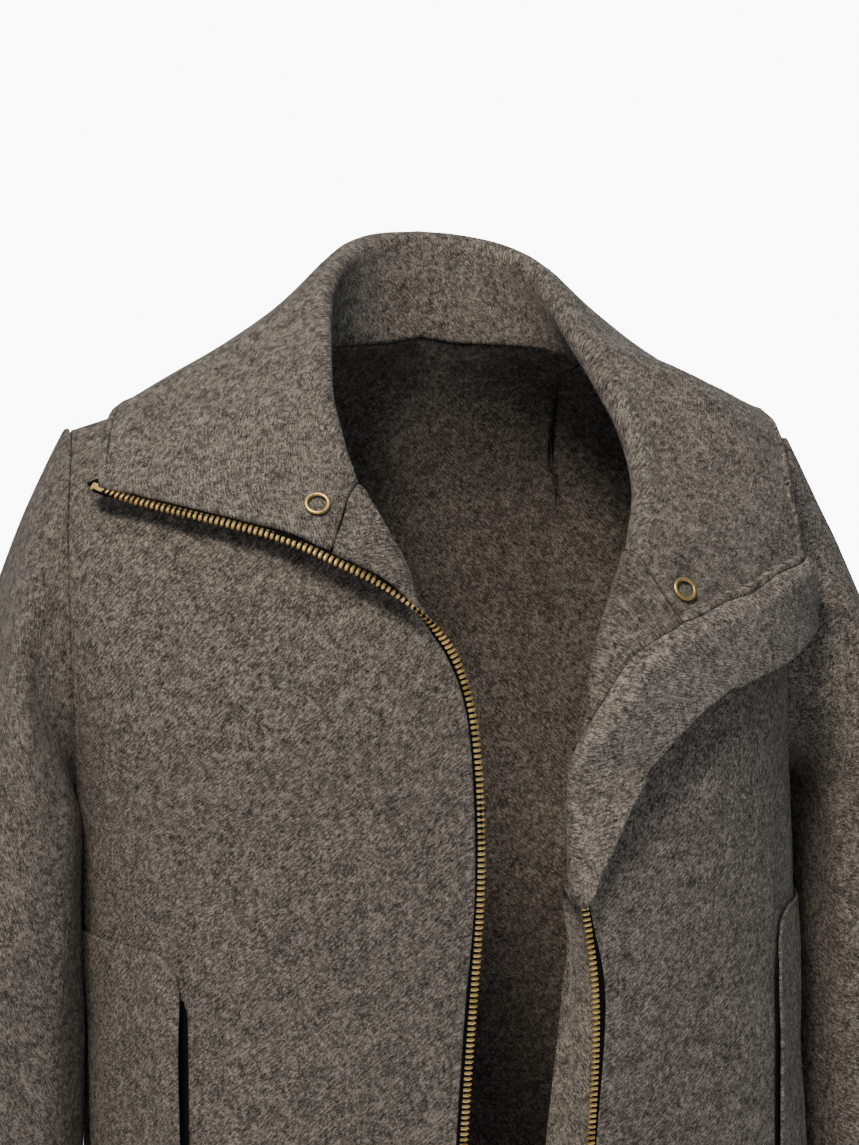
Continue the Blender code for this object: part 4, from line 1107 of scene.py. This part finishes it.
guard = {"thick": 2.6, "foldRadius": 3.4, "behind": 1.4, "firstTurned": 4.3, "start": 0.8,
         "flatCuts": 5, "arcCuts": 9, "outCuts": 9, "cut": (0.065, 0.63, 0.022)}
guardRows = (
    ("frontRow", "flat", "lean", "outerX", "outerZ", "lift"),
    (0, 33, 40, 0, 0, 0),
    (1, 33, 50, 0, 0, 0),
    (2, 33, 59, 0, 0, 0),
    (3, 31, 65, 0, 0, 0),
    (3.5, 25, 70, 0, 0, 0),
    (4, 21, 72, 0, 0, 0),
    (4.34, 3.0, 40, 38.3, -285.0, 4),
    (4.67, 2.0, 20, 43.4, -268.5, 7),
    (5, 1.8, 10, 52.5, -246.4, 10),
    (5.5, 3.0, 4, 58.4, -231.6, 12),
    (6, 5.0, 0, 64.1, -220.8, 13),
    (7, 7, 0, 74.1, -205.9, 14),
    (8, 7.5, 0, 88.1, -195.0, 14),
    (9, 7.5, 0, 99.0, -186.0, 15),
    (10, 7.5, 0, 108.5, -180.5, 15),
    (11, 7.5, 0, 115.8, -178.9, 15),
    (12, 7.5, 0, 127.2, -175.6, 15),
    (13, 7.5, 0, 137.3, -172.6, 15),
    (14, 7.5, 0, 150.3, -169.1, 15),
    (15, 6.5, 0, 168.0, -161.0, 15),
    (16, 3.0, 0, 189.0, -148.5, 16),
)


def guardGrid():
    points, outs, normals = frames[1]
    lastRow = len(frontLeft) - 2
    stations = np.arange(1, zipEdge + 1) / collar["stationCuts"]
    at = np.concatenate([np.linspace(0, lastRow, lastRow * fronts["rowCuts"] + 1), lastRow + stations])
    runs = np.cross(outs, normals)
    arcCuts, outCuts, flatCuts = guard["arcCuts"], guard["outCuts"], guard["flatCuts"]
    sections = []
    for row, flat, lean, outerX, outerZ, lift in columns(guardRows, *guardRows[0]):
        k = int(np.argmin(np.abs(at - row)))
        local = np.stack([outs[k], normals[k], runs[k]])
        lean = math.radians(lean)
        toward = np.array([math.cos(lean), -math.sin(lean), 0.0])
        away = np.array([math.sin(lean), math.cos(lean), 0.0])
        start = np.array([guard["start"], -cloth["wall"] - guard["behind"], 0.0])
        foot = start + toward * flat
        if row < guard["firstTurned"]:
            rest = straightOn(start, foot, flatCuts + arcCuts + outCuts)
        else:
            outer = surfacePoint(outerX, outerZ, lift=lift)[0]
            outer = local @ (outer - points[k])
            arc = foldRound(foot, toward, away, outer, guard["foldRadius"], arcCuts)
            rest = np.vstack([straightOn(start, foot, flatCuts), arc, straightOn(arc[-1], outer, outCuts)])
        sections.append(np.vstack([start[None], rest]))
    sections = np.array(sections)
    place = np.interp(at, column(guardRows, "frontRow"), np.arange(len(sections)))
    spread = np.stack([spline(sections[:, k], place) for k in range(sections.shape[1])], 1)
    return points[:, None] + np.einsum("ijk,ikl->ijl", spread, np.stack([outs, normals, runs], 1))


guardCloth = guardGrid()
# the guard takes the lightest copy of the wool, painted light
pieces["guard"] = clothWall("zipGuard", guardCloth, guard["thick"], woolGuardPaintedLight, True)
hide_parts("zip_guard")
print("zip guard made")

# Patch pockets at the side seams, with their front edges standing a little open.
pocket = {
    "frontX": 162.0, "top": -306.0, "bottom": -480.0, "corner": 22.0, "cornerShare": 0.6, "reach": 0.99,
    "wall": 2.2, "under": 0.2, "lift": {-1: 6.5, 1: 2.0}, "rows": 40, "cols": 26, "crowd": 1.5,
    "cut": (0.082, 0.186, 0.0134),
    # the last entry is a black strip, painted shadow inside the pocket's open front edge
    "mouthShade": {"under": 6.0, "past": 1.9, "from": -470.0, "to": -330.0, "taper": 10.0,
              "lift": 1.1, "wall": 0.9, "rows": 30, "cols": 5},
}


def pocketGrid(side):
    across = np.linspace(0.0, 1.0, pocket["cols"])
    rows = []
    for z in np.linspace(pocket["bottom"], pocket["top"], pocket["rows"]):
        wide = byHeight(torso, "rightWidth" if side < 0 else "leftWidth", z) * pocket["reach"]
        corner = max(0.0, pocket["corner"] - (pocket["top"] - z))
        rounding = pocket["corner"] - math.sqrt(max(pocket["corner"]**2 - corner**2, 0.0))
        start = pocket["frontX"] + pocket["cornerShare"] * rounding
        x = start + (wide - start) * (1.0 - (1.0 - across) ** pocket["crowd"])
        ends = math.sin(math.pi * (z - pocket["bottom"]) / (pocket["top"] - pocket["bottom"])) ** 0.5
        lift = pocket["wall"] + pocket["under"] + pocket["lift"][side] * (1.0 - across) ** 3 * ends
        rows.append(surfacePoint(side * x, np.full_like(x, z), lift=lift)[0])
    return np.array(rows)


for side, word in ((-1, "Right"), (1, "Left")):
    grid = pocketGrid(side)
    grid = creased(grid, "body", np.ones(grid.shape[:2]), side < 0)
    item = clothWall("pocket" + word, grid, pocket["wall"], woolCloth, side < 0,
                     place=gridPlace(grid) * (side, 1))
    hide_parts("pocket_" + word.lower())
    pieces["pocket" + word] = item
    # a black strip in the mouth: painted shadow where the pocket's front edge stands open
    mouthShade = pocket["mouthShade"]
    up = np.linspace(mouthShade["from"], mouthShade["to"], mouthShade["rows"])
    z, across = np.meshgrid(up, np.linspace(0.0, 1.0, mouthShade["cols"]), indexing="ij")
    narrow = np.clip((mouthShade["to"] - z) / mouthShade["taper"], 0.0, 1.0) ** 0.5
    x = pocket["frontX"] - mouthShade["past"] * narrow + across * (mouthShade["under"] + mouthShade["past"] * narrow)
    strip = surfacePoint(side * x, z, lift=np.full(x.shape, mouthShade["lift"]))[0]
    pieces["mouthShade" + word] = clothWall("pocketMouth" + word, strip, mouthShade["wall"], tapeBlack, side < 0,
                                       rimCuts=3)
print("pockets made")

# Zip tapes, with a corded edge that the teeth sit on.
for side, word in ((-1, "Right"), (1, "Left")):
    points, outs, normals = frames[side]
    reach, raised = np.array(tape["reach"]), np.array(tape["raised"])
    middle = points - normals * (0.5 * cloth["wall"] - 0.5 * tape["thick"])
    grid = middle[:, None] + outs[:, None] * reach[None, :, None] + normals[:, None] * raised[None, :, None]
    thick = tape["thick"] + 2 * raised[None, :] * np.ones((len(points), 1))
    item = clothWall("zipTape" + word, grid, thick, tapeBlack, side > 0, rimCuts=3)
    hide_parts("zip_tape_" + word.lower())
    pieces["zipTape" + word] = item

# Teeth: one tree of nodes sets a clamped bar with its nub at every point of a rail.
teeth = {
    "pitch": 2.9, "out": 6.05, "long": 4.3, "thin": 2.0, "high": 2.6,
    "nub": (1.1, 0.7, 1.5),
    "nubOut": 1.9,
    "endRise": 24.0,
    "tuck": {"in": 3.2, "row": 5.4, "rows": 1.2, "full": 0.6},
    "stop": 6.9,
}


def teethTree():
    tree = bpy.data.node_groups.new("teeth", "GeometryNodeTree")
    tree.is_modifier = True
    tree.interface.new_socket("Geometry", in_out="INPUT", socket_type="NodeSocketGeometry")
    for name in ("Tooth long", "Tooth thin", "Tooth high", "Nub out"):
        tree.interface.new_socket(name, in_out="INPUT", socket_type="NodeSocketFloat")
    tree.interface.new_socket("Nub size", in_out="INPUT", socket_type="NodeSocketVector")
    tree.interface.new_socket("Finish", in_out="INPUT", socket_type="NodeSocketMaterial")
    tree.interface.new_socket("Geometry", in_out="OUTPUT", socket_type="NodeSocketGeometry")
    link = tree.links.new
    given = addNode(tree, "NodeGroupInput")
    size = addNode(tree, "ShaderNodeCombineXYZ")
    for name, axis in (("Tooth long", "X"), ("Tooth thin", "Y"), ("Tooth high", "Z")):
        link(given.outputs[name], size.inputs[axis])
    bar = addNode(tree, "GeometryNodeMeshCube")
    link(size.outputs["Vector"], bar.inputs["Size"])
    soft = addNode(tree, "GeometryNodeSubdivisionSurface")
    setInputs(soft, Level=1, Edge_Crease=0.5)
    link(bar.outputs["Mesh"], soft.inputs["Mesh"])
    nub = addNode(tree, "GeometryNodeMeshCube")
    link(given.outputs["Nub size"], nub.inputs["Size"])
    nubOut = addNode(tree, "ShaderNodeCombineXYZ")
    link(given.outputs["Nub out"], nubOut.inputs["X"])
    moved = addNode(tree, "GeometryNodeTransform")
    link(nub.outputs["Mesh"], moved.inputs["Geometry"])
    link(nubOut.outputs["Vector"], moved.inputs["Translation"])
    tooth = addNode(tree, "GeometryNodeJoinGeometry")
    link(moved.outputs["Geometry"], tooth.inputs["Geometry"])
    link(soft.outputs["Mesh"], tooth.inputs["Geometry"])
    turn = addNode(tree, "GeometryNodeInputNamedAttribute", data_type="FLOAT_VECTOR")
    turn.inputs["Name"].default_value = "turn"
    rotation = addNode(tree, "FunctionNodeEulerToRotation")
    link(turn.outputs["Attribute"], rotation.inputs["Euler"])
    spread = addNode(tree, "GeometryNodeInstanceOnPoints")
    link(given.outputs["Geometry"], spread.inputs["Points"])
    link(tooth.outputs["Geometry"], spread.inputs["Instance"])
    link(rotation.outputs["Rotation"], spread.inputs["Rotation"])
    real = addNode(tree, "GeometryNodeRealizeInstances")
    link(spread.outputs["Instances"], real.inputs["Geometry"])
    finish = addNode(tree, "GeometryNodeSetMaterial")
    link(real.outputs["Geometry"], finish.inputs["Geometry"])
    link(given.outputs["Finish"], finish.inputs["Material"])
    done = addNode(tree, "NodeGroupOutput")
    link(finish.outputs["Geometry"], done.inputs["Geometry"])
    return tree


def giveInputs(modifier, values):
    # each input is set by its socket's identifier
    for socket in modifier.node_group.interface.items_tree:
        if socket.in_out == "INPUT" and socket.name in values:
            modifier[socket.identifier] = values[socket.name]


def turnsAlong(outs, runs):
    # Euler angles whose X points out and whose Y follows the rail
    angles = []
    for x, y in zip(outs, runs):
        z = np.cross(x, y)
        angles.append(tuple(Matrix((x, y, z)).transposed().to_euler("XYZ")))
    return np.array(angles)


def plainMesh(item, name):
    # the modifiers' result as a mesh of its own
    shown = item.evaluated_get(bpy.context.evaluated_depsgraph_get())
    mesh = bpy.data.meshes.new_from_object(shown)
    mesh.name = name
    item.modifiers.clear()
    item.data = mesh
    item.name = name
    return item


def setOnRail(name, tree, points, outs, runs, values, material):
    rail = bpy.data.meshes.new(name + "Rail")
    rail.from_pydata((points * mm).tolist(), [], [])
    turn = rail.attributes.new("turn", "FLOAT_VECTOR", "POINT")
    turn.data.foreach_set("vector", turnsAlong(outs, runs).astype(np.float32).ravel())
    item = bpy.data.objects.new(name, rail)
    bpy.context.scene.collection.objects.link(item)
    step = item.modifiers.new("Set along the rail", "NODES")
    step.node_group = tree
    giveInputs(step, {**values, "Finish": material})
    return plainMesh(item, name)


def evenly(points, fields, pitch, first, last):
    # even steps along a line, with the fields carried over
    length = np.concatenate([[0.0], np.cumsum(np.linalg.norm(np.diff(points, axis=0), axis=1))])
    at = np.arange(first, length[-1] - last, pitch)
    spread = [np.stack([np.interp(at, length, f[:, k]) for k in range(3)], -1) for f in (points, *fields)]
    return spread


toothTree = teethTree()
for side, word in ((-1, "Right"), (1, "Left")):
    points, outs, normals = frames[side]
    reach = np.full(len(points), teeth["out"])
    if side > 0:
        # the left teeth go into the fold of the guard where it turns
        tuck = teeth["tuck"]
        row = np.arange(len(points)) / fronts["rowCuts"]
        covered = np.clip(1.0 - np.abs(row - tuck["row"]) / tuck["rows"], 0.0, tuck["full"])
        reach -= tuck["in"] * covered / tuck["full"]
    line = evened(points - normals * (0.5 * cloth["wall"]) + outs * reach[:, None], evenOver["teeth"])
    at, out, normal = evenly(line, (outs, normals), teeth["pitch"], teeth["endRise"], teeth["stop"])
    run = unit(np.gradient(at, axis=0))
    out = squareTo(out, run)
    item = setOnRail("teeth" + word, toothTree, at, out, run, {
        "Tooth long": teeth["long"] * mm, "Tooth thin": teeth["thin"] * mm, "Tooth high": teeth["high"] * mm,
        "Nub size": tuple(s * mm for s in teeth["nub"]), "Nub out": teeth["nubOut"] * mm}, brassGold)
    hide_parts("zip_chain_" + word.lower())
    pieces["teeth" + word] = item
    print("teeth on the", word.lower(), "side:", len(at))

# Ring snaps: flattened rings, in the CAD rings' own places.
ring = {"radius": 5.55, "wide": 1.0, "high": 0.85, "flat": 0.8, "around": 56, "section": 14}


def ringSnap(word):
    old = bpy.data.objects["snap_ring_" + word.lower()]
    spots = np.array([v.co[:] for v in old.data.vertices]) / mm
    centre = spots.mean(axis=0)
    normal = np.linalg.svd(spots - centre, full_matrices=False)[2][2]
    a = unit(np.cross(normal, (0.0, 0.0, 1.0)))
    b = np.cross(normal, a)
    points = []
    for i in range(ring["around"]):
        angle = 2 * math.pi * i / ring["around"]
        outward = a * math.cos(angle) + b * math.sin(angle)
        for j in range(ring["section"]):
            turn = 2 * math.pi * j / ring["section"]
            flatter = abs(math.cos(turn)) ** ring["flat"] * math.copysign(1.0, math.cos(turn))
            points.append(centre + outward * (ring["radius"] + ring["wide"] * flatter)
                          + normal * ring["high"] * math.sin(turn))
    n, m = ring["around"], ring["section"]
    faces = [(i * m + j, ((i + 1) % n) * m + j, ((i + 1) % n) * m + (j + 1) % m, i * m + (j + 1) % m)
             for i in range(n) for j in range(m)]
    item = makeMesh("ringSnap" + word, points, faces, brassGold)
    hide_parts("snap_ring_" + word.lower())
    return item


for word in ("Right", "Left"):
    pieces["ringSnap" + word] = ringSnap(word)

for node in ("slider", "retainer_box", "pull_tab", "insertion_pin", "top_stop_right", "top_stop_left"):
    for slot in bpy.data.objects[node].material_slots:
        slot.material = brassGold
print("metal parts made")

# Every new piece moves with the jacket.
for name, item in pieces.items():
    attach(item, "jacket")


# Stage and light.
stage = {"floor": -0.634, "colour": (0.93, 0.93, 0.925), "wide": 6.0, "solid": 0.9, "gone": 2.1}
sky = {"white": 10.0, "up": (0.74, 0.91, 1.10), "level": (0.31, 0.40, 0.50), "down": (0.15, 0.19, 0.24),
       "strength": 0.44}
lights = (
    # name, size, watts, place, aim and colour
    ("key", (0.5, 0.5), 40.0, (-0.80, -1.2, 1.42), (0.0, -0.1, -0.2), (1.0, 0.94, 0.85)),
    ("back", (1.6, 1.6), 26.0, (1.5, 2.3, 1.5), (0.0, 0.05, -0.3), (0.95, 0.97, 1.0)),
)


def addStage():
    # a pale floor that fades out into the white studio
    half = 0.5 * stage["wide"] / mm
    low = stage["floor"] / mm
    corners = [(-half, -half, low), (half, -half, low), (half, half, low), (-half, half, low)]
    paint = bpy.data.materials.new("stagePaint")
    paint.use_nodes = True
    tree = paint.node_tree
    shader = tree.nodes["Principled BSDF"]
    shader.inputs["Base Color"].default_value = (*stage["colour"], 1.0)
    shader.inputs["Roughness"].default_value = 0.9
    place = addNode(tree, "ShaderNodeTexCoord").outputs["Object"]
    flat = addNode(tree, "ShaderNodeVectorMath", operation="MULTIPLY")
    flat.inputs[1].default_value = (1.0, 1.0, 0.0)
    tree.links.new(place, flat.inputs[0])
    far = addNode(tree, "ShaderNodeVectorMath", operation="LENGTH")
    tree.links.new(flat.outputs["Vector"], far.inputs[0])
    fade = addNode(tree, "ShaderNodeMapRange", interpolation_type="SMOOTHSTEP")
    fade.inputs["From Min"].default_value = stage["solid"]
    fade.inputs["From Max"].default_value = stage["gone"]
    tree.links.new(far.outputs["Value"], fade.inputs["Value"])
    mixed = addNode(tree, "ShaderNodeMixShader")
    tree.links.new(fade.outputs["Result"], mixed.inputs["Fac"])
    tree.links.new(shader.outputs["BSDF"], mixed.inputs[1])
    tree.links.new(addNode(tree, "ShaderNodeBsdfTransparent").outputs["BSDF"], mixed.inputs[2])
    tree.links.new(mixed.outputs["Shader"], tree.nodes["Material Output"].inputs["Surface"])
    makeMesh("floor", corners, [(0, 1, 2, 3)], paint)


def addLight(name, size, power, place, aim, color):
    data = bpy.data.lights.new(name, "AREA")
    data.shape = "RECTANGLE"
    data.size, data.size_y = size
    data.energy = power
    data.color = color
    item = bpy.data.objects.new(name, data)
    item.location = place
    item.rotation_euler = (Vector(aim) - Vector(place)).to_track_quat("-Z", "Y").to_euler()
    bpy.context.scene.collection.objects.link(item)


def addWorld():
    # a soft sky lights the cloth, in front of a plain white backdrop
    world = bpy.data.worlds.new("studio")
    world.use_nodes = True
    tree = world.node_tree
    backdrop = tree.nodes["Background"]
    backdrop.inputs["Color"].default_value = (1.0, 1.0, 1.0, 1.0)
    backdrop.inputs["Strength"].default_value = sky["white"]
    split = addNode(tree, "ShaderNodeSeparateXYZ")
    tree.links.new(addNode(tree, "ShaderNodeTexCoord").outputs["Generated"], split.inputs["Vector"])
    height = mathNode(tree, "ADD", mathNode(tree, "MULTIPLY", split.outputs["Z"], 0.5), 0.5)
    soft = addNode(tree, "ShaderNodeBackground")
    soft.inputs["Strength"].default_value = sky["strength"]
    tree.links.new(ramp(tree, height, ((0.2, sky["down"]), (0.5, sky["level"]), (1.0, sky["up"]))),
                   soft.inputs["Color"])
    mixed = addNode(tree, "ShaderNodeMixShader")
    tree.links.new(addNode(tree, "ShaderNodeLightPath").outputs["Is Camera Ray"], mixed.inputs["Fac"])
    tree.links.new(soft.outputs["Background"], mixed.inputs[1])
    tree.links.new(backdrop.outputs["Background"], mixed.inputs[2])
    tree.links.new(mixed.outputs["Shader"], tree.nodes["World Output"].inputs["Surface"])
    bpy.context.scene.world = world


addStage()
addWorld()
for light in lights:
    addLight(*light)
print("stage and lights set")
